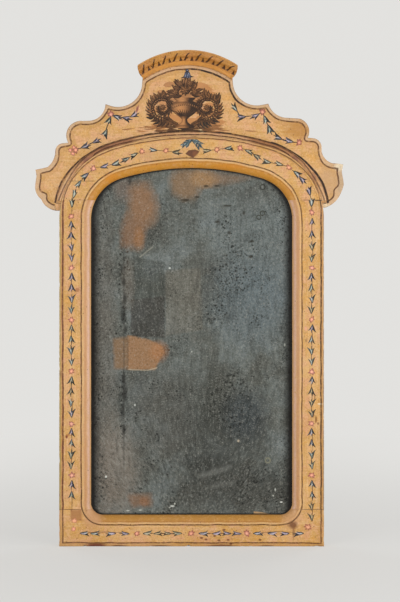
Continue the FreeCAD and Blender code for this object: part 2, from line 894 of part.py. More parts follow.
def make_bores():
    """Every fastener hole as one cutting tool."""
    gap = D["bore_gap"]
    items = pegs(gap) + brads(gap) + batten_nails(gap) + cornice_nails(gap) + bead_brads(gap)
    return join("fastener_bores", items + staple_legs("staple_bore", gap))


def make_all():
    bores = make_bores()
    nodes = make_frame_members(make_frame_stock(), bores)
    nodes += [make_crest_board(bores), make_arch_moulding(bores), make_cornice(bores)]
    nodes.append(make_plate("mirror_glass", D["glass_gap"], D["glass_thickness"], glass_level))
    nodes.append(make_plate("tin_foil", D["glass_gap"], D["foil_thickness"], foil_level))
    nodes += make_back_boards()
    nodes += make_battens(bores)
    nodes += [make_staple(), make_ring()]
    nodes.append(group("lap_pegs", pegs(ZERO)))
    nodes.append(group("retaining_brads", brads(ZERO)))
    nodes.append(group("batten_nails", batten_nails(ZERO)))
    nodes.append(group("cornice_nails", cornice_nails(ZERO)))
    nodes.append(group("moulding_brads", bead_brads(ZERO)))
    return nodes


def write(nodes):
    """Check every object, then write one file for each sub-part."""
    DOC.recompute()
    for item in DOC.Objects:
        if "Invalid" in item.State or "Error" in item.State:
            raise RuntimeError("%s failed: %s" % (item.Label, item.State))
    for node in nodes:
        if node.Shape.isNull() or not node.Shape.isValid() or not node.Shape.Solids:
            raise RuntimeError("%s has no valid shape" % node.Label)
    os.makedirs("parts", exist_ok=True)
    for node in nodes:
        node.Shape.exportStep(os.path.join("parts", node.Label + ".step"))
        print("%-20s %2d solids %12.1f mm3" % (node.Label, len(node.Shape.Solids), node.Shape.Volume))


write(make_all())
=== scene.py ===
"""An old wall mirror in painted and varnished poplar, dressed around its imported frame.

Sizes in the classes are millimetres, and the meshes are metres. X runs to the right, the front faces -Y
and Z is up. The origin is at the middle of the lower edge, on the plane of the back.
"""

import logging
import math
import random
from contextlib import contextmanager
from dataclasses import dataclass, field
from enum import Enum
from typing import Any, Callable, Iterator, Optional, Sequence

import bmesh
import bpy
import numpy as np
from bpy.types import Material, Node, NodeSocket, NodeTree, Object
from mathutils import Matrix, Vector, noise

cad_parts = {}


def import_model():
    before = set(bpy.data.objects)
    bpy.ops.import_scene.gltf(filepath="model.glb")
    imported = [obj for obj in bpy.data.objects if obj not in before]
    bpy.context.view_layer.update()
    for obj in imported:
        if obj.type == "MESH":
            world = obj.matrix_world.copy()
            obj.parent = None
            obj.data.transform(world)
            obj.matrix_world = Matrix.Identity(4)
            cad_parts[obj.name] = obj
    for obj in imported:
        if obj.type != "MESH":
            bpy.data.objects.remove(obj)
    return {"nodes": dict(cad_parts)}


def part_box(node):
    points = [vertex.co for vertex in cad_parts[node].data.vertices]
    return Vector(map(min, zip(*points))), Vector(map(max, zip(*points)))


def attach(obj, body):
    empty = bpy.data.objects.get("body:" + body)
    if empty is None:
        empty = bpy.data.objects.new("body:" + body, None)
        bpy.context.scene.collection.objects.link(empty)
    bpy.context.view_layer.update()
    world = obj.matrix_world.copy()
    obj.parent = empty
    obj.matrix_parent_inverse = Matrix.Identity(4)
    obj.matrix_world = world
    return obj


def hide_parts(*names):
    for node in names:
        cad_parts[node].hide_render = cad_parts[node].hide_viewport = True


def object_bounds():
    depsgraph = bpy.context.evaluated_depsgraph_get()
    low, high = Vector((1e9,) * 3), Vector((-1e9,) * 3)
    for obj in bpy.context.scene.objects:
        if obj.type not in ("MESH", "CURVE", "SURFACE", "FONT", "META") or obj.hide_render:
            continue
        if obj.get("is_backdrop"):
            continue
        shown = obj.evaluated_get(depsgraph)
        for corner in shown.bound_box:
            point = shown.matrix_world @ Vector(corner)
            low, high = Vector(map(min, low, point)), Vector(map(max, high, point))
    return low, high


LOG = logging.getLogger("wall_mirror")
MM = 0.001
PHOTO_WIDE, PHOTO_TALL = 400, 602
MM_PER_PIXEL = 2.0
PHOTO_CENTRE_X, PHOTO_FOOT_Y = 191.6, 546.5
MIRROR_BODY = "mirror"
SIGHT, BAND, LIP = "sight", "band", "lip"
WELD = 0.00001
NO_LINE = 500.0
NO_RIM = 30.0
PALE = "#F2F1EE"
Pair = tuple[float, float]


class Grain(Enum):
    """Which way the wood of a board runs."""

    UPRIGHT = "upright"
    LEVEL = "level"

    def drawn(self, mix: "Mixing", share: float) -> Node:
        """Coordinates drawn out along the grain, so that waves are longer there by one over the share."""
        stretch = (1, 1, share) if self is Grain.UPRIGHT else (share, 1, 1)
        return mix.add("Mapping", {"Vector": mix.spot, "Scale": stretch})


class Tint(Enum):
    """What a cut-out of paper is printed in."""

    LEAF = 0
    FLOWER = 1
    SEPIA = 2
    RIBBON = 3


def from_photo(across: float, down: float) -> Pair:
    """Turns a place in the photograph, in pixels from its upper left corner, to X and Z in millimetres."""
    return (across - PHOTO_CENTRE_X) * MM_PER_PIXEL, (PHOTO_FOOT_Y - down) * MM_PER_PIXEL


def stepped(at: Pair, way: float, length: float) -> Pair:
    """The place at some length from another one, in a direction in radians."""
    return at[0] + math.cos(way) * length, at[1] + math.sin(way) * length


def span(start: Pair, end: Pair) -> Pair:
    """The length and the direction, in radians, from one place to another."""
    across, up = end[0] - start[0], end[1] - start[1]
    return math.hypot(across, up), math.atan2(up, across)


# Modelling by hand


def alone(piece: Object) -> None:
    """Selects one object and nothing else."""
    bpy.ops.object.select_all(action="DESELECT")
    piece.select_set(True)
    bpy.context.view_layer.objects.active = piece


def whole() -> None:
    """Selects all of the piece that is being edited."""
    bpy.ops.mesh.select_all(action="SELECT")


@contextmanager
def editing(piece: Object, kind: str = "FACE") -> Iterator[None]:
    """Opens a piece in edit mode with all of it selected, and closes it again.

    Args:
        piece: the object to edit.
        kind: VERT, EDGE or FACE, for what is selected.
    """
    alone(piece)
    bpy.ops.object.mode_set(mode="EDIT")
    bpy.ops.mesh.select_mode(type=kind)
    whole()
    yield
    bpy.ops.object.mode_set(mode="OBJECT")


def choose(piece: Object, kind: str, wanted: Callable[[Any], bool]) -> None:
    """Selects only what passes a test, in edit mode.

    Args:
        piece: the object being edited.
        kind: verts, edges or faces.
        wanted: the test on one element.
    """
    shape = bmesh.from_edit_mesh(piece.data)
    parts = getattr(shape, kind)
    for part in parts:
        part.select_set(False)
    for part in [p for p in parts if wanted(p)]:
        part.select_set(True)
    shape.select_flush_mode()
    bmesh.update_edit_mesh(piece.data)


def face_outwards() -> None:
    """Turns every face of the piece that is being edited outwards."""
    whole()
    bpy.ops.mesh.normals_make_consistent(inside=False)


def slice_at(axis: int, place: float) -> None:
    """Cuts the piece that is being edited with a plane across an axis, at a place in millimetres."""
    facing = [0.0, 0.0, 0.0]
    facing[axis] = 1.0
    whole()
    bpy.ops.mesh.bisect(plane_co=[place * MM * f for f in facing], plane_no=facing)


def smooth(piece: Object, degrees: float = 32) -> None:
    """Shades a piece smooth, apart from edges sharper than an angle."""
    alone(piece)
    bpy.ops.object.shade_smooth_by_angle(angle=math.radians(degrees))


def settle(piece: Object) -> None:
    """Puts a piece's place into its mesh, so that the object is at the origin."""
    alone(piece)
    bpy.ops.object.transform_apply(location=True, rotation=True, scale=True)


def points_of(piece: Object) -> np.ndarray:
    """Gives a piece's vertices in millimetres."""
    flat = np.zeros(len(piece.data.vertices) * 3, np.float32)
    piece.data.vertices.foreach_get("co", flat)
    return flat.reshape(-1, 3).astype(float) / MM


def put_points(piece: Object, places: np.ndarray) -> None:
    """Sets a piece's vertices, given in millimetres."""
    piece.data.vertices.foreach_set("co", (places * MM).astype(np.float32).ravel())
    piece.data.update()


def mark(piece: Object, **kept: np.ndarray) -> None:
    """Keeps one number for each vertex under each name, for the finishes to read."""
    for name, values in kept.items():
        made = piece.data.attributes.new(name, "FLOAT", "POINT")
        made.data.foreach_set("value", values.astype(np.float32))


def put_in_scene(name: str, data: Any) -> Object:
    """Makes an object with some data and puts it in the scene."""
    piece = bpy.data.objects.new(name, data)
    data.name = name
    bpy.context.scene.collection.objects.link(piece)
    return piece


def cuboid(low: Sequence[float], high: Sequence[float]) -> Object:
    """Makes a plain block between two corners in millimetres."""
    bpy.ops.mesh.primitive_cube_add(size=MM)
    block = bpy.context.object
    block.scale = [b - a for a, b in zip(low, high)]
    block.location = [(a + b) / 2 * MM for a, b in zip(low, high)]
    settle(block)
    return block


def carve(piece: Object, block: Object, operation: str) -> None:
    """Cuts a block out of a piece, or leaves only what they share, and removes the block."""
    cut = piece.modifiers.new("carve", "BOOLEAN")
    cut.operation, cut.solver, cut.object = operation, "EXACT", block
    alone(piece)
    bpy.ops.object.modifier_apply(modifier=cut.name)
    bpy.data.objects.remove(block)


def swept(name: str, rows: np.ndarray, ring: bool) -> Object:
    """Lays a grid over the sections of a moulding and closes it.

    Args:
        name: the new piece's name.
        rows: places in millimetres, by station along and point round the section.
        ring: whether the last station meets the first.

    Returns:
        The closed moulding.
    """
    if ring:
        rows = np.concatenate([rows, rows[:1]])
    rows = np.concatenate([rows, rows[:, :1]], axis=1)
    along, around = rows.shape[:2]
    bpy.ops.mesh.primitive_grid_add(x_subdivisions=along - 1, y_subdivisions=around - 1, size=2)
    piece = bpy.context.object
    piece.name = piece.data.name = name
    flat = points_of(piece) * MM
    station = np.rint((flat[:, 0] + 1) / 2 * (along - 1)).astype(int)
    place = np.rint((flat[:, 1] + 1) / 2 * (around - 1)).astype(int)
    put_points(piece, rows[station, place])
    with editing(piece, "EDGE"):
        bpy.ops.mesh.remove_doubles(threshold=WELD)
        if not ring:
            whole()
            bpy.ops.mesh.fill_holes(sides=0)
        face_outwards()
    return piece


def copy_of_node(node: Object, name: str) -> Object:
    """Copies a solid of the frame as one merged mesh, with flat faces dissolved."""
    piece = put_in_scene(name, node.data.copy())
    piece.data.materials.clear()
    with editing(piece, "VERT"):
        bpy.ops.mesh.remove_doubles(threshold=WELD)
        whole()
        bpy.ops.mesh.dissolve_limited(angle_limit=math.radians(0.6))
    return piece


def lattice(piece: Object, step: float, *axes: int) -> None:
    """Cuts a piece with planes, so that its flat faces can be worked.

    Args:
        piece: the piece to cut.
        step: the distance between planes in millimetres.
        axes: 0 for planes across X, 2 for planes across Z.
    """
    with editing(piece):
        bpy.ops.mesh.quads_convert_to_tris(quad_method="BEAUTY", ngon_method="BEAUTY")
    for axis in axes:
        places = points_of(piece)[:, axis]
        with editing(piece):
            for cut in np.arange(places.min() + step * 0.63, places.max(), step):
                slice_at(axis, cut)


def unevenness(places: np.ndarray, reach: float = 0.28) -> np.ndarray:
    """Small waves that hand planing and gesso leave in a painted board."""
    wave = [noise.noise_vector(Vector(p) / 62.0) * 0.75 + noise.noise_vector(Vector(p) / 19.0) * 0.25 for p in places]
    return np.array(wave).reshape(-1, 3) * reach


def bite(place: Sequence[float], wave: float, floor: float, depth: float) -> float:
    """How deep wear has bitten at a place: its depth grows where noise of a wave's length is over a floor."""
    return max(0.0, noise.noise(Vector(place) / wave) - floor) * depth


def paint(piece: Object, *finishes: Material) -> None:
    """Gives an object its finishes in place of those that it has."""
    piece.data.materials.clear()
    for material in finishes:
        piece.data.materials.append(material)
    LOG.info("%s: %d faces, %s", piece.name, len(piece.data.polygons), finishes[0].name)


def finish_piece(piece: Object, slot: str, *finishes: Material) -> None:
    """Gives a piece its finishes, and lets it ride with the mirror."""
    paint(piece, *finishes)
    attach(piece, MIRROR_BODY)


# Finishes


def linear(colour: str) -> tuple[float, float, float, float]:
    """Turns an sRGB hex colour to linear values."""
    parts = [int(colour[i : i + 2], 16) / 255 for i in (1, 3, 5)]
    red, green, blue = (p / 12.92 if p <= 0.04045 else ((p + 0.055) / 1.055) ** 2.4 for p in parts)
    return red, green, blue, 1.0


def wire(tree: NodeTree, node: Node, links: dict) -> None:
    """Sets inputs of a node.

    Args:
        tree: the nodes that it is one of.
        node: the node.
        links: for an input's name or number, a node, a socket, a hex colour or a number.
    """
    for key, value in links.items():
        named = (s for s in node.inputs if s.enabled and s.name == key)
        socket = node.inputs[key] if isinstance(key, int) else next(named)
        if isinstance(value, Node):
            value = next(s for s in value.outputs if s.enabled)
        if isinstance(value, NodeSocket):
            tree.links.new(value, socket)
        else:
            socket.default_value = linear(value) if isinstance(value, str) else value


def add_node(tree: NodeTree, kind: str, links: Optional[dict] = None, **settings: Any) -> Node:
    """Adds a shader node with its settings and links.

    Args:
        tree: the material's nodes.
        kind: the node's type without its first words.
        links: what its inputs are set to, as wire takes it.
        settings: the node's own properties, and stops for a colour ramp.

    Returns:
        The new node.
    """
    made = tree.nodes.new("ShaderNode" + kind)
    stops = settings.pop("stops", [])
    for name, value in settings.items():
        setattr(made, name, value)
    wire(tree, made, links or {})
    for index, (place, colour) in enumerate(stops):
        points = made.color_ramp.elements
        point = points[index] if index < len(points) else points.new(place)
        point.position, point.color = place, linear(colour)
    return made


def per(millimetres: float) -> float:
    """The noise scale at which one wave is so long, on coordinates in metres."""
    return 1000.0 / millimetres


@dataclass
class Mixing:
    """A finish while it is mixed: its nodes, the object's coordinates and the colour so far."""

    name: str
    colour: Any = None
    material: Material = field(init=False)
    tree: NodeTree = field(init=False)
    shader: Node = field(init=False)
    spot: NodeSocket = field(init=False)

    def __post_init__(self) -> None:
        """Starts the material with its principled shader."""
        self.material = bpy.data.materials.new(self.name)
        self.material.use_nodes = True
        self.tree = self.material.node_tree
        self.shader = self.tree.nodes["Principled BSDF"]
        self.spot = self.add("TexCoord").outputs["Object"]

    def add(self, kind: str, links: Optional[dict] = None, **settings: Any) -> Node:
        """Adds a node to the finish."""
        return add_node(self.tree, kind, links, **settings)

    def waves(self, rows: Sequence[tuple]) -> list[Node]:
        """Clouds of several sizes: for each row its coordinates or None, wave length, detail and roughness."""
        made = []
        for at, size, detail, rough in rows:
            links = {"Vector": at or self.spot, "Scale": per(size), "Detail": detail, "Roughness": rough}
            made.append(self.add("TexNoise", links))
        return made

    def cover(self, share: Any, hue: Any) -> None:
        """Lays a colour over the colour so far by a share."""
        self.colour = self.add("Mix", {"Factor": share, "A": self.colour, "B": hue}, data_type="RGBA")

    def wash(self, value: Any, start: float, end: float, depth: Any, hue: Any) -> None:
        """Lays a colour over the colour so far where a value comes from start to end."""
        self.cover(self.add("MapRange", {"Value": value, 1: start, 2: end, 3: 0.0, 4: depth}), hue)

    def oval(self, across: float, up: float, half_width: float, half_height: float) -> Node:
        """Coordinates in which an oval on the face, in millimetres, has a radius of one."""
        scale = (1 / (half_width * MM), 0.0, 1 / (half_height * MM))
        shift = (-across * MM * scale[0], 0.0, -up * MM * scale[2])
        return self.add("Mapping", {"Vector": self.spot, "Scale": scale, "Location": shift})

    def done(self, links: dict) -> Material:
        """Feeds the colour and what else is given to the shader."""
        wire(self.tree, self.shader, {"Base Color": self.colour, **links})
        return self.material


@dataclass(frozen=True)
class Stroke:
    """A painted line at a distance from an edge: the attribute, the distance, half its width, its hue and depth."""

    edge: str
    middle: float
    half: float
    hue: str
    depth: float

    def draw(self, mix: Mixing, sway: Node, rubbed: Node, soft: float) -> None:
        """Draws the line on a finish.

        Args:
            mix: the finish.
            sway: how far the painter's hand strayed.
            rubbed: the share of the line that wear has left.
            soft: how far its edges fade.
        """
        gap = mix.add("Attribute", attribute_name=self.edge).outputs["Fac"]
        for value, operation in ((sway, "ADD"), (self.middle, "SUBTRACT"), (0.0, "ABSOLUTE")):
            gap = mix.add("Math", {0: gap, 1: value}, operation=operation)
        limits = {"Value": gap, 1: self.half + soft, 2: self.half - soft, 3: 0.0, 4: self.depth}
        mix.cover(mix.add("Math", {0: mix.add("MapRange", limits), 1: rubbed}, operation="MULTIPLY"), self.hue)


@dataclass(frozen=True)
class Stain:
    """A soft patch of another colour on a face, in millimetres of X and Z."""

    across: float
    up: float
    half_width: float
    half_height: float
    hue: str
    depth: float
    square: bool = False
    ring: bool = False

    def blend(self, mix: Mixing, fray: Node) -> None:
        """Lays the patch on a finish, its edge broken up by some noise."""
        around = mix.oval(self.across, self.up, self.half_width, self.half_height)
        if self.square:
            around = mix.add("VectorMath", {0: around}, operation="ABSOLUTE")
            sides = mix.add("SeparateXYZ", {"Vector": around})
            reach = mix.add("Math", {0: sides.outputs[0], 1: sides.outputs[2]}, operation="MAXIMUM")
        else:
            reach = mix.add("VectorMath", {0: around}, operation="LENGTH")
        reach = mix.add("Math", {0: fray, 1: 0.9, 2: reach}, operation="MULTIPLY_ADD")
        rim = 1.45
        soft = 0.14 if self.square else 0.4
        if self.ring:
            soft = 0.24
            for value, operation in ((rim, "SUBTRACT"), (0.0, "ABSOLUTE"), (1.25, "ADD")):
                reach = mix.add("Math", {0: reach, 1: value}, operation=operation)
        mix.wash(reach, rim + soft, rim - soft, self.depth, self.hue)


@dataclass(frozen=True)
class Shard:
    """A patch with straight sides: its corners in the photograph, its hue and depth, and how its edge frays."""

    corners: tuple[Pair, ...]
    hue: str
    depth: float
    soft: float = 2.5
    frayed: float = 8.0

    def blend(self, mix: Mixing, fray: Node) -> None:
        """Lays the patch on a finish, its edge broken up by some noise."""
        places = np.array([from_photo(*corner) for corner in self.corners])
        reach: Optional[Node] = None
        for start, end in zip(places, np.roll(places, -1, axis=0)):
            out = np.array((end[1] - start[1], start[0] - end[0]))
            out /= np.hypot(*out)
            out *= np.sign(out @ (start - places.mean(axis=0)))
            side = mix.add("VectorMath", {0: mix.spot, 1: (out[0] / MM, 0.0, out[1] / MM)}, operation="DOT_PRODUCT")
            side = mix.add("Math", {0: side, 1: float(out @ start)}, operation="SUBTRACT")
            if reach:
                side = mix.add("Math", {0: reach, 1: side, 2: self.soft * 2}, operation="SMOOTH_MAX")
            reach = side
        reach = mix.add("Math", {0: fray, 1: self.frayed, 2: reach}, operation="MULTIPLY_ADD")
        middle = self.frayed / 2
        mix.wash(reach, middle + self.soft, middle - self.soft, self.depth, self.hue)


def patches(*rows: tuple) -> tuple[Stain | Shard, ...]:
    """Turns rows to patches: a row that starts with corners to a shard, any other one to a stain."""
    return tuple(Shard(*row) if isinstance(row[0], tuple) else Stain(*row) for row in rows)


@dataclass(frozen=True)
class Hues:
    """The colours that mottle a lacquer."""

    ground: str = "#D3A66C"
    warm: str = "#C4934A"
    pale: str = "#E4C396"
    blush: str = "#D39A76"
    glow: str = "#DDA04C"
    grime: str = "#8F6236"


@dataclass(frozen=True)
class Lacquer:
    """Gesso and distemper under yellowed varnish: matt ground, satin sheen, fine crackle, dark hand-drawn lines."""

    name: str
    grain: Grain = Grain.LEVEL
    hues: Hues = Hues()
    strokes: tuple[Stroke, ...] = ()
    zones: tuple[Stroke, ...] = ()
    stains: tuple[Stain | Shard, ...] = ()
    roughness: float = 0.4

    def mixed(self) -> Mixing:
        """Mixes the finish: mottling, broad zones, stains, painted lines, crackle and wear."""
        mix, hues = Mixing(self.name, self.hues.ground), self.hues
        along = self.grain.drawn(mix, 0.05)
        clouds, blotches, flecks, streaks, grit = mix.waves(
            ((None, 80, 4.0, 0.62), (None, 24, 5.0, 0.66), (None, 9, 5.0, 0.78))
            + ((along, 3.2, 4.0, 0.66), (None, 3.0, 3.0, 0.8))
        )
        for wash in (
            (clouds, 0.42, 0.6, 0.8, hues.warm),
            (blotches, 0.48, 0.62, 0.7, hues.blush),
            (blotches, 0.46, 0.34, 0.55, hues.glow),
            (streaks, 0.48, 0.36, 0.45, hues.warm),
            (streaks, 0.54, 0.68, 0.35, hues.pale),
            (flecks, 0.54, 0.7, 0.45, hues.pale),
            (flecks, 0.44, 0.32, 0.3, hues.grime),
            (grit, 0.45, 0.3, 0.55, hues.grime),
            (grit, 0.55, 0.7, 0.5, hues.pale),
        ):
            mix.wash(*wash)
        sway = mix.add("TexNoise", {"Vector": mix.spot, "Scale": per(30), "Detail": 3.0})
        sway = mix.add("MapRange", {"Value": sway, 1: 0.3, 2: 0.7, 3: -0.75, 4: 0.75})
        rubbed = mix.add("MapRange", {"Value": flecks, 1: 0.36, 2: 0.5, 3: 0.4, 4: 1.0})
        for zone in self.zones:
            zone.draw(mix, sway, rubbed, 0.6)
        for stain in self.stains:
            stain.blend(mix, flecks)
        for stroke in self.strokes:
            stroke.draw(mix, sway, rubbed, 0.4)
        crackle = mix.add("TexVoronoi", {"Vector": mix.spot, "Scale": per(6)}, feature="DISTANCE_TO_EDGE")
        mix.wash(crackle, 0.05, 0.0, 0.2, "#6B4320")
        self.wear(mix, flecks)
        crackle = mix.add("MapRange", {"Value": crackle, 1: 0.0, 2: 0.06, 3: 0.0, 4: 1.0})
        height = mix.add("Math", {0: crackle, 1: 0.35, 2: streaks}, operation="MULTIPLY_ADD")
        limits = {"Value": flecks, 1: 0.3, 2: 0.7, 3: self.roughness - 0.08, 4: self.roughness + 0.14}
        bump = mix.add("Bump", {"Strength": 0.25, "Distance": 0.0006, "Height": height})
        rough = mix.add("MapRange", limits)
        varnish = {"Specular IOR Level": 0.3, "Coat Weight": 0.12, "Coat Roughness": 0.3}
        mix.done({"Normal": bump, "Roughness": rough, **varnish})
        return mix

    def material(self) -> Material:
        """Builds the finish."""
        return self.mixed().material

    def wear(self, mix: Mixing, flecks: Node) -> None:
        """Adds dark specks, rubbed rims, and the bare wood of the back and of the sides."""
        specks = mix.add("TexVoronoi", {"Vector": mix.spot, "Scale": per(14), "Randomness": 1.0})
        mix.wash(specks, 0.1, 0.05, 0.75, "#6E3F1C")
        frayed = mix.add("MapRange", {"Value": flecks, 1: 0.56, 2: 0.7, 3: 0.0, 4: 3.2})
        rim = mix.add("Attribute", attribute_name="rim_mm").outputs["Fac"]
        near = mix.add("Math", {0: frayed, 1: rim}, operation="SUBTRACT")
        mix.wash(near, 0.0, 0.5, 0.85, "#8A5230")
        level = mix.add("SeparateXYZ", {"Vector": mix.spot}).outputs["Y"]
        mix.wash(level, -0.021, -0.004, 0.62, "#86592C")
        along = self.grain.drawn(mix, 0.06)
        wood = mix.add("TexNoise", {"Vector": along, "Scale": per(9), "Detail": 6.0, "Roughness": 0.7})
        back = mix.add("ValToRGB", {"Fac": wood}, stops=[(0.3, "#4F3722"), (0.5, "#755436"), (0.7, "#97754D")])
        facing = mix.add("NewGeometry").outputs["Normal"]
        turned = mix.add("SeparateXYZ", {"Vector": facing}).outputs["Y"]
        mix.wash(turned, 0.3, 0.6, 1.0, back)


@dataclass(frozen=True)
class OldGlass:
    """Plate with decayed tin and mercury behind it: a mottled grey that is partly bloom and partly a painted reflection
    of dark surroundings, black specks, brown burns, hardly any image.
    """

    name: str = "tin_backed_plate_glass"
    burns: tuple[Stain | Shard, ...] = ()
    veils: tuple[Stain | Shard, ...] = ()
    marks: tuple[Stain | Shard, ...] = ()
    crowds: tuple[tuple[float, float, float, float, float], ...] = ()

    def material(self) -> Material:
        """Builds the finish."""
        mix = Mixing(self.name)
        pulled = mix.add("Mapping", {"Vector": mix.spot, "Scale": (1, 1, 0.22)})
        rows = ((None, 75, 5.0, 0.62), (pulled, 6, 5.0, 0.78), (None, 6.5, 6.0, 0.85), (None, 3.2, 3.0, 0.8))
        clouds, streaks, grain, grit = mix.waves(rows)
        crowd, fray = mix.waves(((None, 52, 3.0, 0.6), (None, 16, 6.0, 0.75)))
        # the grey ground is decayed silvering and also a painted reflection of dark surroundings, in place of a mirror
        # image
        ramp = [(0.32, "#4C4C46"), (0.45, "#5A5C56"), (0.56, "#656A66"), (0.7, "#737A79")]
        mix.colour = mix.add("ValToRGB", {"Fac": clouds}, stops=ramp)
        for veil in self.veils:
            veil.blend(mix, fray)
        share = mix.add("Attribute", attribute_name="edge_share").outputs["Fac"]
        crowd = self.crowded(mix, crowd, fray, share)
        heavy = mix.add("MapRange", {"Value": crowd, 1: 0.4, 2: 0.66, 3: 0.25, 4: 0.8})
        for wash in (
            (streaks, 0.5, 0.34, 0.5, "#2B2C28"),
            (streaks, 0.55, 0.72, 0.3, "#8F928B"),
            (grain, 0.49, 0.38, heavy, "#262825"),
            (grain, 0.56, 0.7, 0.45, "#979B95"),
        ):
            mix.wash(*wash)
        reach = mix.add("MapRange", {"Value": crowd, 1: 0.4, 2: 0.68, 3: 0.04, 4: 0.34})
        for size, depth, hue in ((4.5, 0.75, "#1F211E"), (8.0, 0.85, "#1A1B18")):
            pits = mix.add("TexVoronoi", {"Vector": mix.spot, "Scale": per(size), "Randomness": 1.0})
            inside = mix.add("Math", {0: reach, 1: pits}, operation="SUBTRACT")
            mix.wash(inside, 0.0, 0.12, depth, hue)
        for burn in self.burns:
            burn.blend(mix, fray)
        mix.wash(grit, 0.46, 0.3, 0.65, "#22231F")
        mix.wash(grit, 0.55, 0.7, 0.5, "#A09F97")
        for spot in self.marks:
            spot.blend(mix, fray)
        # painted shadow and painted reflection: the frame's shade and its dark rebate, laid as a near-black band round
        # the plate, wider at its sides
        edge = mix.add("Math", {0: fray, 1: 0.5, 2: share}, operation="MULTIPLY_ADD")
        mix.wash(edge, 2.0, 0.7, 0.96, "#100D0B")
        rough = mix.add("MapRange", {"Value": clouds, 1: 0.3, 2: 0.7, 3: 0.16, 4: 0.36})
        return mix.done({"Roughness": rough, "IOR": 1.5, "Specular IOR Level": 0.22})

    def crowded(self, mix: Mixing, crowd: Node, fray: Node, share: NodeSocket) -> Node:
        """How thickly the specks lie: more near the plate's edge and in the crowded places.

        Args:
            mix: the finish.
            crowd: the noise that spreads them.
            fray: the noise that breaks up the crowded places.
            share: how far a point is from the edge, against the width of the painted shadow band there.

        Returns:
            The sum.
        """
        rotten = mix.add("MapRange", {"Value": share, 1: 0.8, 2: 2.8, 3: 0.13, 4: 0.0})
        crowd = mix.add("Math", {0: crowd, 1: rotten}, operation="ADD")
        for *oval, more in self.crowds:
            away = mix.add("VectorMath", {0: mix.oval(*oval)}, operation="LENGTH")
            away = mix.add("Math", {0: fray, 1: 0.9, 2: away}, operation="MULTIPLY_ADD")
            near = mix.add("MapRange", {"Value": away, 1: 1.7, 2: 1.1, 3: 0.0, 4: more})
            crowd = mix.add("Math", {0: crowd, 1: near}, operation="ADD")
        return crowd


@dataclass(frozen=True)
class BareWood:
    """Unpainted softwood gone brown with age and dust: dull, with straight darker grain and grime."""

    name: str
    dark: str = "#4A3523"
    middle: str = "#7A5939"
    light: str = "#A17D55"
    grain: Grain = Grain.UPRIGHT
    ring_width: float = 5.0

    def material(self) -> Material:
        """Builds the finish."""
        mix = Mixing(self.name)
        rings, dirt = mix.waves(((self.grain.drawn(mix, 0.05), self.ring_width, 5.0, 0.62), (None, 48, 6.0, 0.65)))
        stops = [(0.32, self.dark), (0.5, self.middle), (0.68, self.light)]
        mix.colour = mix.add("ValToRGB", {"Fac": rings}, stops=stops)
        mix.wash(dirt, 0.46, 0.66, 0.6, self.dark)
        bump = mix.add("Bump", {"Strength": 0.35, "Distance": 0.0007, "Height": rings})
        return mix.done({"Normal": bump, "Roughness": 0.82})


@dataclass(frozen=True)
class Metal:
    """Forged iron or tin foil: dark oxide or grey bloom, broken gloss."""

    name: str
    clean: str
    decayed: str
    metallic: float
    roughness: float
    grit: float = 3.0

    def material(self) -> Material:
        """Builds the finish."""
        mix = Mixing(self.name, self.clean)
        rust = mix.add("TexNoise", {"Vector": mix.spot, "Scale": per(self.grit), "Detail": 5.0, "Roughness": 0.7})
        mix.wash(rust, 0.4, 0.62, 1.0, self.decayed)
        limits = {"Value": rust, 1: 0.3, 2: 0.7, 3: self.roughness - 0.1, 4: self.roughness + 0.2}
        rough = mix.add("MapRange", limits)
        bump = mix.add("Bump", {"Strength": 0.3, "Distance": 0.0004, "Height": rust})
        return mix.done({"Normal": bump, "Roughness": rough, "Metallic": self.metallic})


@dataclass(frozen=True)
class CutPaper:
    """Hand-coloured printed paper under varnish: each blade runs from dark ink to a pale light."""

    name: str
    ink: str
    body: str
    light: str
    drift: tuple[str, str]

    def material(self) -> Material:
        """Builds the finish."""
        mix = Mixing(self.name)
        tone = mix.add("Attribute", attribute_name="tone").outputs["Fac"]
        fibre = mix.add("TexNoise", {"Vector": mix.spot, "Scale": per(2.4), "Detail": 3.0, "Roughness": 0.7})
        mixed = mix.add("Math", {0: fibre, 1: 0.36, 2: tone}, operation="MULTIPLY_ADD")
        mixed = mix.add("Math", {0: mixed, 1: 0.18}, operation="SUBTRACT")
        colour = mix.add("ValToRGB", {"Fac": mixed}, stops=[(0.05, self.ink), (0.5, self.body), (0.95, self.light)])
        faded = mix.add("TexNoise", {"Vector": mix.spot, "Scale": per(60), "Detail": 1.0})
        stops = [(0.38, self.drift[0]), (0.5, self.body), (0.62, self.drift[1])]
        hues = mix.add("ValToRGB", {"Fac": faded}, stops=stops)
        mix.colour = mix.add("Mix", {"Factor": 0.75, "A": colour, "B": hues}, data_type="RGBA", blend_type="COLOR")
        return mix.done({"Roughness": 0.5, "Specular IOR Level": 0.3, "Coat Weight": 0.08, "Coat Roughness": 0.3})


# The opening and what follows its edge


@dataclass(frozen=True)
class Station:
    """A place along the opening: the edge, the way outwards, and how far the lip's foot and the outside are."""

    across: float
    up: float
    out_across: float
    out_up: float
    to_lip: float
    to_outside: float


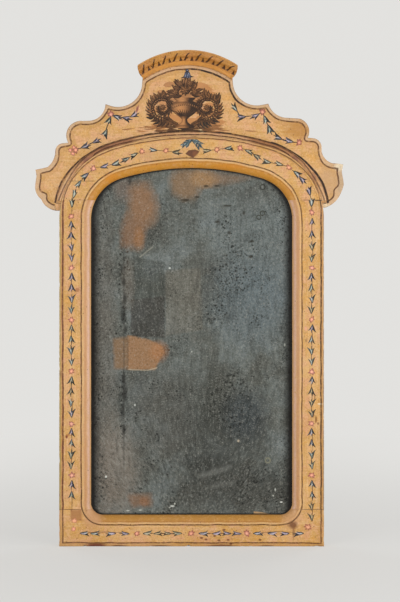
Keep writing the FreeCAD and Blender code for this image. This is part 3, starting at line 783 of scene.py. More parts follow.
@dataclass(frozen=True)
class SightLine:
    """The edge of the arched opening and the lines that run round outside it, in millimetres."""

    half: float = 202.0
    foot: float = 62.0
    springing: float = 655.0
    crown: float = 758.0
    haunch: float = 86.0
    corner: float = 24.0
    stile: float = 63.0
    lip: float = 6.0

    @property
    def crown_radius(self) -> float:
        """Radius of the flat arc over the middle."""
        rise = self.crown - self.springing
        across = self.half - self.haunch
        return (across**2 + rise**2 - self.haunch**2) / (2 * (rise - self.haunch))

    @property
    def turn(self) -> float:
        """Angle at which the haunch meets the arc over the middle."""
        low = self.crown_radius - (self.crown - self.springing)
        return math.atan2(low, self.half - self.haunch)

    def outside_of(self, across: np.ndarray, up: np.ndarray) -> np.ndarray:
        """How far points at X and Z are outside the opening, below zero inside."""
        side = np.abs(across)
        haunch_x = self.half - self.haunch
        corner_x, corner_z = self.half - self.corner, self.foot + self.corner
        crown_z = self.crown - self.crown_radius
        in_corner = (side > corner_x) & (up < corner_z)
        angle = np.arctan2(up - self.springing, side - haunch_x)
        on_haunch = angle < self.turn
        arch = np.where(
            on_haunch,
            np.hypot(side - haunch_x, up - self.springing) - self.haunch,
            np.hypot(side, up - crown_z) - self.crown_radius,
        )
        low = np.where(in_corner, np.hypot(side - corner_x, corner_z - up) - self.corner, self.foot - up)
        straight = np.where(up < corner_z, np.where(side > corner_x, low, self.foot - up), side - self.half)
        return np.where(up > self.springing, arch, straight)

    def round_haunch(self, across: np.ndarray, up: np.ndarray) -> np.ndarray:
        """Degrees round the haunch from its springing, zero below it and steady over the crown."""
        angle = np.degrees(np.arctan2(up - self.springing, np.maximum(np.abs(across) - self.half + self.haunch, 1e-6)))
        return np.where(up > self.springing, np.minimum(angle, 90.0), 0.0)

    def line_of(self, across: np.ndarray, up: np.ndarray) -> np.ndarray:
        """How far points are inside the edge that the painter followed, which swells outwards round the arch."""
        angle = self.round_haunch(across, up)
        swell = 3.4 * np.minimum(1.0, angle / 20.0) + 1.4 * np.exp(-(((angle - 30.0) / 14.0) ** 2))
        return self.rim_of(across, up) + swell + 1.3 * np.clip((across - 200.0) / 40.0, 0, 1)

    def rim_of(self, across: np.ndarray, up: np.ndarray) -> np.ndarray:
        """How far points are inside the frame's outer edge."""
        width = self.half + self.stile
        low = np.minimum(width - np.abs(across), up)
        return np.where(up > self.springing, self.stile - self.outside_of(across, up), low)

    def stations(self, step: float = 4.0, start: Optional[float] = None) -> list[Station]:
        """Places along the edge, from the middle of the foot to the right and round.

        Args:
            step: about how far apart they are.
            start: the haunch angle in degrees at which both ends start, or None for the whole ring.

        Returns:
            The stations in order; the ring isn't repeated at its end.
        """
        right: list[Station] = []
        corner_x, corner_z = self.half - self.corner, self.foot + self.corner
        wide, straight = self.half + self.stile, self.stile - self.lip

        def lay(px: float, pz: float, nx: float, nz: float, lip: float, out: float) -> None:
            right.append(Station(px, pz, nx, nz, lip, out))

        if start is None:
            for x in np.arange(step / 2, corner_x, step):
                lay(x, self.foot, 0, -1, self.foot - self.lip, self.foot)
            bend = math.atan2(corner_z, wide - corner_x)
            for angle in [*np.linspace(-math.pi / 2, -bend, 18, endpoint=False), *np.linspace(-bend, 0, 18)]:
                nx, nz = math.cos(angle), math.sin(angle)
                reach = []
                for gap in (self.lip, 0.0):
                    sideways = (wide - gap - corner_x) / max(nx, 1e-9)
                    down = (corner_z - gap) / max(-nz, 1e-9)
                    reach.append(min(sideways, down) - self.corner)
                lay(corner_x + nx * self.corner, corner_z + nz * self.corner, nx, nz, *reach)
            count = int((self.springing - corner_z) / step)
            for z in np.linspace(corner_z, self.springing, count)[1:-1]:
                lay(self.half, z, 1, 0, straight, self.stile)
        haunch = (self.half - self.haunch, self.springing, self.haunch, 0.0, self.turn, 1.5)
        crown = (0.0, self.crown - self.crown_radius, self.crown_radius, self.turn, math.pi / 2, 1.1)
        for x, z, radius, low, high, closer in (haunch, crown):
            count = int(radius * (high - low) / step * closer)
            for angle in np.linspace(max(low, math.radians(start or 0)), high, count, endpoint=False):
                nx, nz = math.cos(angle), math.sin(angle)
                lay(x + nx * radius, z + nz * radius, nx, nz, straight, self.stile)
        left = [Station(-s.across, s.up, -s.out_across, s.out_up, s.to_lip, s.to_outside) for s in reversed(right)]
        return right + left


def bowed_points(start: Pair, end: Pair, share: float, count: int) -> list[Pair]:
    """Points on a shallow arc between two points.

    Args:
        start: the first point.
        end: the last point.
        share: the arc's height over its chord, positive to the left of the way.
        count: how many points, with both ends.

    Returns:
        The points in order.
    """
    (x0, y0), (x1, y1) = start, end
    made = []
    for t in np.linspace(0, 1, count):
        lift = share * 4 * t * (1 - t)
        made.append((x0 + (x1 - x0) * t - (y1 - y0) * lift, y0 + (y1 - y0) * t + (x1 - x0) * lift))
    return made


@dataclass
class FrameMembers:
    """The two stiles, the rail and the arched head, cut from one moulded section."""

    sight: SightLine
    depth: float = 27.5
    band_face: float = 26.0
    slope: float = 14.0
    fillet: float = 17.0
    sight_face: float = 17.5
    rebate: float = 15.0
    overlap: float = 8.0
    rail_joint: float = 74.0
    head_joint: float = 693.0
    lap: float = 13.0
    lap_top: float = 737.0
    crack: float = 0.12
    back: float = -0.18
    foot_wear: float = 3.4
    housing_room: float = 0.2

    def section(self) -> list[tuple[str, float, float]]:
        """The moulding's section, as distances outwards and levels, anticlockwise from the rebate."""
        top, floor, face = -self.depth, -self.rebate, -self.sight_face
        arc = bowed_points((0.3, face), (self.slope - 0.4, top + 0.1), -0.12, 11)
        sight = [(self.overlap, self.back), (self.overlap, -7.0), (self.overlap, floor), (4.0, floor), (0.5, floor)]
        sight += [(0.0, floor - 0.5), (0.0, face + 0.5), *arc, (self.slope, top), (self.fillet - 0.6, top)]
        sight += [(self.fillet - 0.1, top + 0.4), (self.fillet, -self.band_face)]
        lip = [(0.0, -self.band_face - 0.9), (0.08, top), (0.4, top), (0.75, top), (0.92, top + 0.45), (1.0, top + 1.5)]
        lip += [(1.0, level) for level in (-22.0, -17.0, -10.5, -5.0, -0.8)] + [(0.88, self.back), (0.0, self.back)]
        front = [(share, -self.band_face) for share in np.linspace(0.02, 0.985, 12)]
        rear = [(share, self.back) for share in (0.75, 0.5, 0.25, 0.0)]
        zones = ((SIGHT, sight), (BAND, front), (LIP, lip), (BAND, rear))
        return [(zone, out, level) for zone, points in zones for out, level in points]

    def stock(self) -> Object:
        """Sweeps the section round the opening, uneven as the old frame is."""
        section = self.section()
        lines = []
        for s in self.sight.stations():
            band, lip = (self.fillet, s.to_lip - self.fillet), (s.to_lip, s.to_outside - s.to_lip)
            base = {SIGHT: (0.0, 1.0), BAND: band, LIP: lip}
            line = []
            for zone, share, level in section:
                out = base[zone][0] + share * base[zone][1]
                line.append((s.across + s.out_across * out, level, s.up + s.out_up * out))
            lines.append(line)
        rows = np.array(lines)
        flat = rows.reshape(-1, 3)
        shift = unevenness(flat)
        rim = self.sight.rim_of(flat[:, 0], flat[:, 2])
        shift[(flat[:, 1] > -16) & (rim > 40)] *= 0.2
        for index in np.flatnonzero((rim < 1.6) & (flat[:, 1] < -20)):
            place = flat[index]
            worn = bite(place, 13.0, 0.3, 2.6) + bite(place, 5.0, 0.42, 1.4)
            worn *= self.foot_wear if place[2] < 4 else 1.0
            across, up = self.inward(place)
            shift[index] += np.array((across * worn, worn * 0.8, up * worn))
        flat = flat + shift
        wide = self.sight.half + self.sight.stile
        flat = np.clip(flat, (-wide, -self.depth - 0.3, 0.0), (wide, self.back, np.inf))
        return swept("frame_stock", flat.reshape(rows.shape), ring=True)

    def inward(self, place: np.ndarray) -> Pair:
        """The way from the frame's outer edge to its middle at a place, as shares of X and Z."""
        if place[2] > self.sight.springing:
            way = Vector((-place[0], -(place[2] - self.sight.springing + 150.0)))
            way.normalize()
            return way.x, way.y
        wide = self.sight.half + self.sight.stile - abs(place[0])
        return (0.0, 1.0) if place[2] < wide else (-math.copysign(1.0, place[0]), 0.0)

    def block(self, member: str) -> Object:
        """A plain block that holds one member and its laps, to be met with the stock.

        Args:
            member: the node's name.

        Returns:
            The block, cut and drawn out where the laps are.
        """
        wide, back, front, inner = 320.0, 6.0, -40.0, self.sight.half + self.overlap
        foot, top = self.rail_joint + self.crack, self.head_joint - self.crack
        left, right, low, high = {
            "bottom_rail": (-wide, wide, -8.0, self.rail_joint - self.crack),
            "arched_head": (-wide, wide, self.lap_top + self.crack, 1000.0),
            "left_stile": (-wide, 0.0, foot, top),
            "right_stile": (0.0, wide, foot, top),
        }[member]
        lap = -self.lap - self.crack
        near = lap if member == "bottom_rail" else back
        piece = cuboid((left, front, low), (right, near, high))

        def draw_out(wanted: Callable[[Any, Vector], bool], way: tuple[float, float, float]) -> None:
            choose(piece, "faces", lambda f: wanted(f.normal, f.calc_center_median() / MM))
            bpy.ops.mesh.extrude_region_move(TRANSFORM_OT_translate={"value": [w * MM for w in way]})

        with editing(piece):
            if member == "bottom_rail":
                for side in (-1, 1):
                    slice_at(0, side * (inner - self.crack))
                draw_out(lambda n, c: n.y > 0.9 and abs(c.x) < inner, (0, back - near, 0))
            elif member == "arched_head":
                slice_at(1, lap)
                draw_out(lambda n, c: n.z < -0.9 and c.y < lap, (0, 0, self.head_joint - self.lap_top))
            else:
                slice_at(1, -self.lap)
                draw_out(lambda n, c: n.z > 0.9 and c.y > lap, (0, 0, self.lap_top - self.head_joint))
                slice_at(0, math.copysign(inner, left + right))
                draw_out(lambda n, c: n.z < -0.9 and c.y > lap and abs(c.x) > inner, (0, 0, -self.rail_joint - 8.0))
            face_outwards()
        return piece

    def house(self, piece: Object) -> None:
        """Cuts the housings in which the battens lie, open to the back."""
        for name in ("centre_batten", "left_batten", "right_batten"):
            low, high = (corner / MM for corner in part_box(name))
            room = Vector([self.housing_room] * 3)
            carve(piece, cuboid(low - room, high + room + Vector((0, 6, 0))), "DIFFERENCE")

    def build(self, finishes: dict[str, Material]) -> None:
        """Cuts the four members from the stock and gives each its finish."""
        stock = self.stock()
        for member in ("bottom_rail", "left_stile", "right_stile", "arched_head"):
            piece = put_in_scene("painted_" + member, stock.data.copy())
            carve(piece, self.block(member), "INTERSECT")
            if member == "arched_head":
                self.house(piece)
            across, _, up = points_of(piece).T
            sight = self.sight
            mark(piece, sight_mm=sight.outside_of(across, up), rim_mm=sight.rim_of(across, up))
            mark(piece, line_mm=sight.line_of(across, up))
            smooth(piece)
            finish_piece(piece, "lacquered_wood", finishes[member])
            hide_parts(member)
        bpy.data.objects.remove(stock)


@dataclass
class ArchMoulding:
    """The rounded bead planted on the crest, outside the head."""

    sight: SightLine
    inner: float = 63.15
    width: float = 9.0
    base: float = -20.0
    side: float = -25.6
    front: float = -27.48
    start_degrees: float = 13.97

    def build(self, finish: Material) -> None:
        """Sweeps the bead and gives it its worn paint."""
        outer, low = self.inner + self.width, self.side + 1.6
        bow = bowed_points((self.inner + 0.3, self.side - 0.3), (outer - 0.3, self.side - 0.3), -0.18, 9)
        section = [(self.inner, self.base), (self.inner, low), (self.inner, self.side), *bow]
        section += [(outer, self.side), (outer, low), (outer, self.base)]
        section += [(outer - 3.0, self.base), (self.inner + 3.0, self.base)]
        rows = []
        for s in self.sight.stations(start=self.start_degrees):
            rows.append([(s.across + s.out_across * u, y, s.up + s.out_up * u) for u, y in section])
        flat = np.array(rows).reshape(-1, 3)
        shift = unevenness(flat, 0.2)
        shift[flat[:, 1] > self.side] *= 0.0
        for index in np.flatnonzero(flat[:, 1] < self.side - 1):
            shift[index, 1] += bite(flat[index], 11.0, 0.34, 2.0)
        flat = flat + shift
        flat[:, 1] = np.maximum(flat[:, 1], self.front)
        piece = swept("painted_arch_bead", flat.reshape(len(rows), len(section), 3), ring=False)
        across, _, up = points_of(piece).T
        haunch = np.exp(-(((self.sight.round_haunch(across, up) - 28.0) / 22.0) ** 2))
        line = self.sight.outside_of(across, up) + 5.0 * haunch
        low_end = 30.0 * np.clip((np.abs(across) - 196) / 18, 0, 1)
        mark(piece, bead_mm=line, crown_bead_mm=line + low_end, rim_mm=np.full(len(line), NO_RIM))
        smooth(piece, 50)
        finish_piece(piece, "worn_bead_wood", finish)
        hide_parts("arch_moulding")


def nearest(places: np.ndarray, lines: np.ndarray) -> np.ndarray:
    """The shortest distance from each place to a set of straight lines.

    Args:
        places: X and Z of each place.
        lines: for each line, X and Z of its start and of its end.

    Returns:
        One distance for each place.
    """
    best = np.full(len(places), np.inf)
    for x0, z0, x1, z1 in lines:
        way = np.array((x1 - x0, z1 - z0))
        rel = places - (x0, z0)
        share = np.clip(rel @ way / max(way @ way, 1e-9), 0, 1)
        best = np.minimum(best, np.hypot(*(rel - share[:, None] * way).T))
    return best


@dataclass
class CrestBoard:
    """The fretted board that carries the arch and the painted crest."""

    sight: SightLine
    face: float = -20.0
    cornice_across: float = -7.8
    cornice_up: float = 812.0
    cornice_foot: float = 151.0
    bead_outside: float = 72.6
    line_foot: float = 687.0
    border_end: float = 272.0
    ear_points: tuple[Pair, ...] = ((-292.0, 706.0), (287.0, 713.0))
    cell: float = 5.0

    def build(self, node: Object, finish: Material) -> None:
        """Copies the solid, eases its sawn edge, and marks how far each place is from it.

        Args:
            node: the crest board's solid.
            finish: its paint.
        """
        piece = copy_of_node(node, "painted_crest_board")
        lines = self.border_lines(piece)
        with editing(piece, "EDGE"):
            choose(piece, "edges", self.on_front_rim)
            bpy.ops.mesh.bevel(offset=0.0007, segments=2, affect="EDGES", clamp_overlap=True)
        lattice(piece, self.cell, 0, 2)
        places = points_of(piece)
        across, level, up = places.T
        rim = nearest(places[:, [0, 2]], lines)
        shift = unevenness(places, 0.22)
        shift[:, [0, 2]] *= 0.5
        shift[level > -19] *= 0.3
        for index in np.flatnonzero((rim < 1.2) & (level < -18.5)):
            shift[index, 1] += bite(places[index], 9.0, 0.3, 2.4)
        shift[:, 1][level > -0.5] = 0
        put_points(piece, np.clip(places + shift, places.min(axis=0), places.max(axis=0)))
        arch = self.arch_line(across, up)
        border = rim - self.border_sway(across, up)
        border += 40 * np.clip((self.border_end - np.abs(across)) / 3, 0, 1) * (up < 715)
        heavy = np.where((across > -2) & (up > 880), border, NO_LINE)
        heavy_arch = np.where((across > 155) | (np.abs(across + 7) < 90), arch, NO_LINE)
        mark(piece, arch_mm=arch, heavy_arch_mm=heavy_arch, border_mm=border, heavy_mm=heavy, rim_mm=rim)
        smooth(piece)
        finish_piece(piece, "lacquered_wood", finish)
        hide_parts("crest_board")

    def arch_line(self, across: np.ndarray, up: np.ndarray) -> np.ndarray:
        """How far points are outside the painted line that follows the bead, wider at the haunches."""
        swell = 4.2 * np.exp(-(((self.sight.round_haunch(across, up) - 27.0) / 17.0) ** 2))
        ended = 40.0 * np.clip((self.line_foot - up) / 4.0, 0, 1)
        return self.sight.outside_of(across, up) - self.bead_outside - swell + ended

    def border_sway(self, across: np.ndarray, up: np.ndarray) -> np.ndarray:
        """How much further in the painted border lies: wider in the ears, with a point near their middle."""
        sway = 2.5 * np.clip((np.abs(across) - 240.0) / 20.0, 0, 1) * np.clip((790.0 - up) / 20.0, 0, 1)
        for x, z in self.ear_points:
            sway += 6.0 * np.exp(-((across - x) ** 2 + (up - z) ** 2) / 64.0)
        return sway

    def on_front_rim(self, edge: Any) -> bool:
        """Whether an edge is where the painted face meets the sawn edge."""
        if any(abs(v.co.y - self.face * MM) > 0.00002 for v in edge.verts) or len(edge.link_faces) != 2:
            return False
        turned = [abs(f.normal.y) for f in edge.link_faces]
        middle = (edge.verts[0].co + edge.verts[1].co) / 2 / MM
        outside = self.sight.outside_of(np.array([middle.x]), np.array([middle.z]))[0]
        bored = edge.calc_length() < 0.0009
        return max(turned) > 0.9 and min(turned) < 0.5 and outside > 73.0 and not bored

    def border_lines(self, piece: Object) -> np.ndarray:
        """The sawn outline that shows, closed under the cornice by its foot."""
        shape = bmesh.new()
        shape.from_mesh(piece.data)
        ends = [[v.co / MM for v in edge.verts] for edge in shape.edges if self.on_front_rim(edge)]
        shape.free()
        centre = (self.cornice_across, self.cornice_up)
        turns = np.linspace(math.radians(54), math.radians(126), 30)
        arc = [stepped(centre, angle, self.cornice_foot) for angle in turns]
        return np.array([(a.x, a.z, b.x, b.z) for a, b in ends] + [(*a, *b) for a, b in zip(arc, arc[1:])])


@dataclass
class MirrorPlate:
    """The old plate of glass, with its distance from the opening marked."""

    sight: SightLine
    cell: float = 7.0
    even_shadow_band: float = 2.4
    side_shadow_band: float = 9.0

    def build(self, node: Object, finish: Material) -> None:
        """Copies the plate and marks how far each place lies from the opening, against the width of the painted shadow
        band round its edge, which is wider at its sides.

        Args:
            node: the glass's solid.
            finish: the decayed silvering.
        """
        piece = copy_of_node(node, "aged_mirror_plate")
        lattice(piece, self.cell, 0, 2)
        across, _, up = points_of(piece).T
        outside = self.sight.outside_of
        sideways = np.abs(outside(across + 1, up) - outside(across - 1, up)) / 2
        mark(piece, edge_share=-outside(across, up) / (self.even_shadow_band + self.side_shadow_band * sideways**2))
        smooth(piece)
        finish_piece(piece, "old_mirror", finish)
        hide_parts("mirror_glass")


@dataclass
class Cornice:
    """The curved cap moulding over the crest, with painted gadroons."""

    across: float = -7.8
    up: float = 812.0
    foot: float = 151.0
    top: float = 179.0
    cell: float = 5.0

    def build(self, node: Object, finish: Material) -> None:
        """Copies the solid and marks where each place is along and up the moulding.

        Args:
            node: the cornice's solid.
            finish: its paint.
        """
        piece = copy_of_node(node, "painted_cornice")
        lattice(piece, self.cell, 0)
        places = points_of(piece)
        shift = unevenness(places, 0.15)
        shift[:, 1] = np.where(places[:, 1] < -40.4, 0.0, shift[:, 1])
        shift[places[:, 1] > -20.5] = 0
        shift[:, 2] = np.minimum(shift[:, 2], 0)
        places = places + shift
        put_points(piece, places)
        across, up = places[:, 0] - self.across, places[:, 2] - self.up
        arc, rise = np.arctan2(across, up) * (self.foot + self.top) / 2, np.hypot(across, up) - self.foot
        mark(piece, arc_mm=arc, rise_mm=rise, rim_mm=np.full(len(arc), NO_RIM))
        smooth(piece, 24)
        finish_piece(piece, "cornice_wood", finish)
        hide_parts("crest_cornice")


@dataclass(frozen=True)
class Gadrooned:
    """The cornice's paint: ochre with slanted dark strokes and darts, orange in the hollow, paler along the top."""

    name: str = "gadrooned_cornice_paint"
    pitch: float = 22.5
    lean: float = 0.73

    def material(self) -> Material:
        """Builds the finish over the common lacquer."""
        zones = (
            Stroke("rise_mm", 5.4, 3.6, "#C98A3C", 0.85),
            Stroke("rise_mm", 8.6, 0.7, "#9A5E26", 0.5),
            Stroke("rise_mm", 27.5, 1.6, "#CFA06C", 0.6),
        )
        hues = Hues("#B9843F", "#A2692A", "#D2A25C", "#BE8146", "#C5863A", "#7A4A20")
        mix = Lacquer(self.name, hues=hues, zones=zones).mixed()
        arc, rise = (mix.add("Attribute", attribute_name=name).outputs["Fac"] for name in ("arc_mm", "rise_mm"))
        sway = mix.add("TexNoise", {"Vector": mix.spot, "Scale": per(14), "Detail": 2.0})
        arc = mix.add("Math", {0: sway, 1: 5.0, 2: arc}, operation="MULTIPLY_ADD")
        leaning, upright = (22.4, 9.5, 22.4, 2.3, 1.3, self.lean), (0.45, 9.0, 16.0, 3.8, 0.5, 0.0)
        for offset, low, high, start, end, lean in (leaning, upright):
            turn = mix.add("Math", {0: rise, 1: -lean, 2: arc}, operation="MULTIPLY_ADD")
            width = mix.add("MapRange", {"Value": rise, 1: low, 2: high, 3: start, 4: end})
            for value, operation in ((offset + 900.0, "ADD"), (self.pitch, "MODULO"), (self.pitch / 2, "SUBTRACT")):
                turn = mix.add("Math", {0: turn, 1: value}, operation=operation)
            gap = mix.add("Math", {0: turn}, operation="ABSOLUTE")
            gap = mix.add("Math", {0: gap, 1: width}, operation="SUBTRACT")
            mask = mix.add("MapRange", {"Value": gap, 1: 0.5, 2: -0.4, 3: 0.0, 4: 0.96})
            for start, end in ((low - 0.5, low + 0.5), (high + 0.7, high - 0.7)):
                within = mix.add("MapRange", {"Value": rise, 1: start, 2: end})
                mask = mix.add("Math", {0: mask, 1: within}, operation="MULTIPLY")
            mix.cover(mask, "#3F210B")
        return mix.done({})


# Cut paper


@dataclass
class Cutting:
    """One shape of cut paper lying in its own plane, modelled once: its points and faces."""

    points: np.ndarray
    faces: list[tuple[int, ...]]

    @classmethod
    def leaf(cls, sides: int, width: float) -> "Cutting":
        """Shapes a blade from a disc: one unit long from its stalk, and narrowed to its tip.

        Args:
            sides: how many corners the disc has.
            width: the blade's width over its length.

        Returns:
            The blade.
        """
        bpy.ops.mesh.primitive_circle_add(vertices=sides, radius=0.5, fill_type="NGON", location=(0.5, 0, 0))
        blade = bpy.context.object
        settle(blade)
        with editing(blade, "VERT"):
            bpy.ops.transform.resize(value=(1, width, 1))
            choose(blade, "verts", lambda v: v.co.x > 0.6)
            bpy.ops.transform.resize(value=(1, 0.55, 1))
            whole()
            bpy.ops.mesh.extrude_region_move(TRANSFORM_OT_translate={"value": (0, 0, 1)})
            face_outwards()
        mesh = blade.data
        made = cls(np.array([v.co for v in mesh.vertices], float), [tuple(p.vertices) for p in mesh.polygons])
        bpy.data.objects.remove(blade)
        return made


@dataclass
class PaperWork:
    """Cut-outs pasted on one face of the mirror, gathered into one mesh."""

    name: str
    level: float
    blade: Cutting
    petal: Cutting
    chance: random.Random
    thickness: float = 0.12
    points: list[np.ndarray] = field(default_factory=list)
    faces: list[tuple[int, ...]] = field(default_factory=list)
    tones: list[np.ndarray] = field(default_factory=list)
    tints: list[int] = field(default_factory=list)
    count: int = 0

    def add(self, points: np.ndarray, tones: np.ndarray, faces: list[tuple[int, ...]], tint: Tint) -> None:
        """Adds points in millimetres, with a tone for each, and the faces between them."""
        self.points.append(points)
        self.tones.append(tones)
        self.faces += [tuple(i + self.count for i in face) for face in faces]
        self.tints += [tint.value] * len(faces)
        self.count += len(points)

    def stamp(
        self, shape: Cutting, at: Pair, heading: float, length: float, width: float, tone: Pair, tint: Tint,
        layer: int = 0, bend: float = 0.0,
    ) -> None:
        """Pastes one cut-out.

        Args:
            shape: the cut-out in its own plane.
            at: X and Z of its stalk in millimetres.
            heading: the way it points, in radians from the right, anticlockwise.
            length: its length in millimetres.
            width: its breadth against the shape's own.
            tone: dark to light from 0 to 1, at its stalk and at its tip.
            tint: what it is printed in.
            layer: how many sheets it lies on.
            bend: how far its middle swings sideways, over its length.
        """
        share, breadth, height = shape.points.T
        along = share * length
        side = breadth * length * width + bend * length * share * (1 - share) * 4
        across = at[0] + math.cos(heading) * along - math.sin(heading) * side
        up = at[1] + math.sin(heading) * along + math.cos(heading) * side
        out = self.level - self.thickness * (layer + 0.15 + height)
        self.add(np.stack([across, out, up], axis=1), tone[0] + (tone[1] - tone[0]) * share, shape.faces, tint)

    def sprig(
        self, at: Pair, heading: float, size: float, weight: float, fade: float = 0.0, flare: float = 1.0
    ) -> None:
        """A tuft of leaves that spring from one point and flare like a tulip.

        Args:
            at: the tuft's middle.
            heading: the way its point shows.
            size: against the common tuft.
            weight: how broad its leaves are.
            fade: how pale it has gone, from 0 to 1.
            flare: how far its leaves spread, against the common tuft.
        """
        vary = self.chance.uniform
        heading += vary(-0.1, 0.1)
        root = stepped(at, heading, 7.6 * size)
        level = abs(math.sin(heading)) < 0.3
        lit = 1 if (math.cos(heading) if level else math.sin(heading)) > 0 else -1
        blades = (
            (-0.48, 0.95, 0.25, 0), (-0.24, 0.8, 0.95, 1), (0.0, 1.1, 0.12, 0), (0.24, 0.6, 0.6, 1),
            (0.46, 1.02, 0.0, 0),
        )
        for turned, share, tone, layer in blades:
            spread = turned * lit * flare
            way = heading + math.pi + spread * vary(0.85, 1.2)
            length = 15.5 * size * share * vary(0.82, 1.1)
            bend = -0.13 * math.copysign(1, spread) if spread else vary(-0.06, 0.06)
            tones = (tone * 0.8 + fade, tone + fade + vary(0.0, 0.25))
            wide = weight * (0.5 / flare if layer else 0.7 if turned == 0 else 1.0) * vary(0.85, 1.15)
            self.stamp(self.blade, stepped(root, way, layer * 2.0), way, length, wide, tones, Tint.LEAF, layer, bend)

    def stem(self, start: Pair, end: Pair, wide: float = 0.5, tint: Tint = Tint.SEPIA) -> None:
        """A thin dark stalk between two tufts."""
        length, way = span(start, end)
        tone = 0.3 if tint is Tint.SEPIA else 0.05
        bend = self.chance.uniform(-0.035, 0.035)
        self.stamp(self.blade, start, way, length, wide * 8 / max(length, 1), (tone, tone + 0.1), tint, 0, bend)

    def flower(self, at: Pair, size: float = 1.0, fade: float = 0.0) -> None:
        """A small rosette, red at its rim and pale in its middle."""
        vary = self.chance.uniform
        turn = vary(0, 1)
        at = (at[0] + vary(-0.7, 0.7), at[1] + vary(-0.7, 0.7))
        for index in range(7):
            way = turn + index * math.tau / 7 + vary(-0.2, 0.2)
            length = 6.6 * size * vary(0.75, 1.2)
            self.stamp(self.petal, at, way, length, 0.95, (0.25 + fade, 0.1 + fade), Tint.FLOWER)
            self.stamp(self.petal, at, way + 0.3, length * 0.72, 0.7, (0.8 + fade, 0.45 + fade), Tint.FLOWER, 1)
        for index in range(5):
            way = turn + index * math.tau / 5
            self.stamp(self.petal, at, way, 2.7 * size, 1.1, (1.15 + fade, 1.1 + fade), Tint.FLOWER, 2)

    def bow(self, knot: Pair, tips: Sequence[Pair], leaf: float, spread: float) -> None:
        """A drooping bow with a dark knot, its ribbons feathered by dark blades along both edges and pale ones on them.

        Args:
            knot: where it is tied.
            tips: where its ribbon ends hang.
            leaf: the length of its blades.
            spread: how far they lean from the ribbon's line, in radians.
        """
        vary, pairs = self.chance.uniform, 4
        for tip in tips:
            length, way = span(knot, tip)
            for index in range(pairs):
                root = stepped(knot, way, max(length - leaf * 0.8, 0.0) * index / (pairs - 1))
                for side in (-1, 1):
                    lean = way + side * spread * vary(0.7, 1.2)
                    long = leaf * vary(0.85, 1.15)
                    self.stamp(self.blade, root, lean, long, 1.0, (0.0, 0.35), Tint.RIBBON, 0, side * 0.1)
                    x, z = stepped(root, lean, 1.4)
                    tone = vary(0.45, 1.0)
                    tones, lean = (tone * 0.6, tone), lean - side * 0.2
                    self.stamp(self.blade, (x, z + 0.4), lean, leaf * 0.7, 0.62, tones, Tint.RIBBON, 1)
        for way, length in ((1.3, 5.0), (1.9, 5.5), (0.4, 5.0), (2.8, 5.0), (4.7, 7.0)):
            self.stamp(self.petal, knot, way, length, 0.8, (0.0, 0.2), Tint.RIBBON, 2)
        self.stamp(self.petal, (knot[0] - 1.5, knot[1] + 1), 0.2, 3.4, 0.6, (0.7, 1.0), Tint.RIBBON, 3)

    def build(self, *finishes: Material) -> None:
        """Joins the cut-outs and gives them the leaf, flower, sepia and ribbon papers."""
        mesh = bpy.data.meshes.new(self.name)
        places = np.concatenate(self.points)
        base = places.copy()
        base[:, 1] = self.level
        places += unevenness(base, 0.28 if self.level < -25 else 0.22) * [0.0, 1.0, 0.0]
        mesh.from_pydata([tuple(p * MM) for p in places], [], self.faces)
        mesh.update()
        piece = put_in_scene(self.name, mesh)
        mark(piece, tone=np.concatenate(self.tones))
        finish_piece(piece, "lacquered_wood", *finishes)
        mesh.polygons.foreach_set("material_index", self.tints)
        mesh.update()


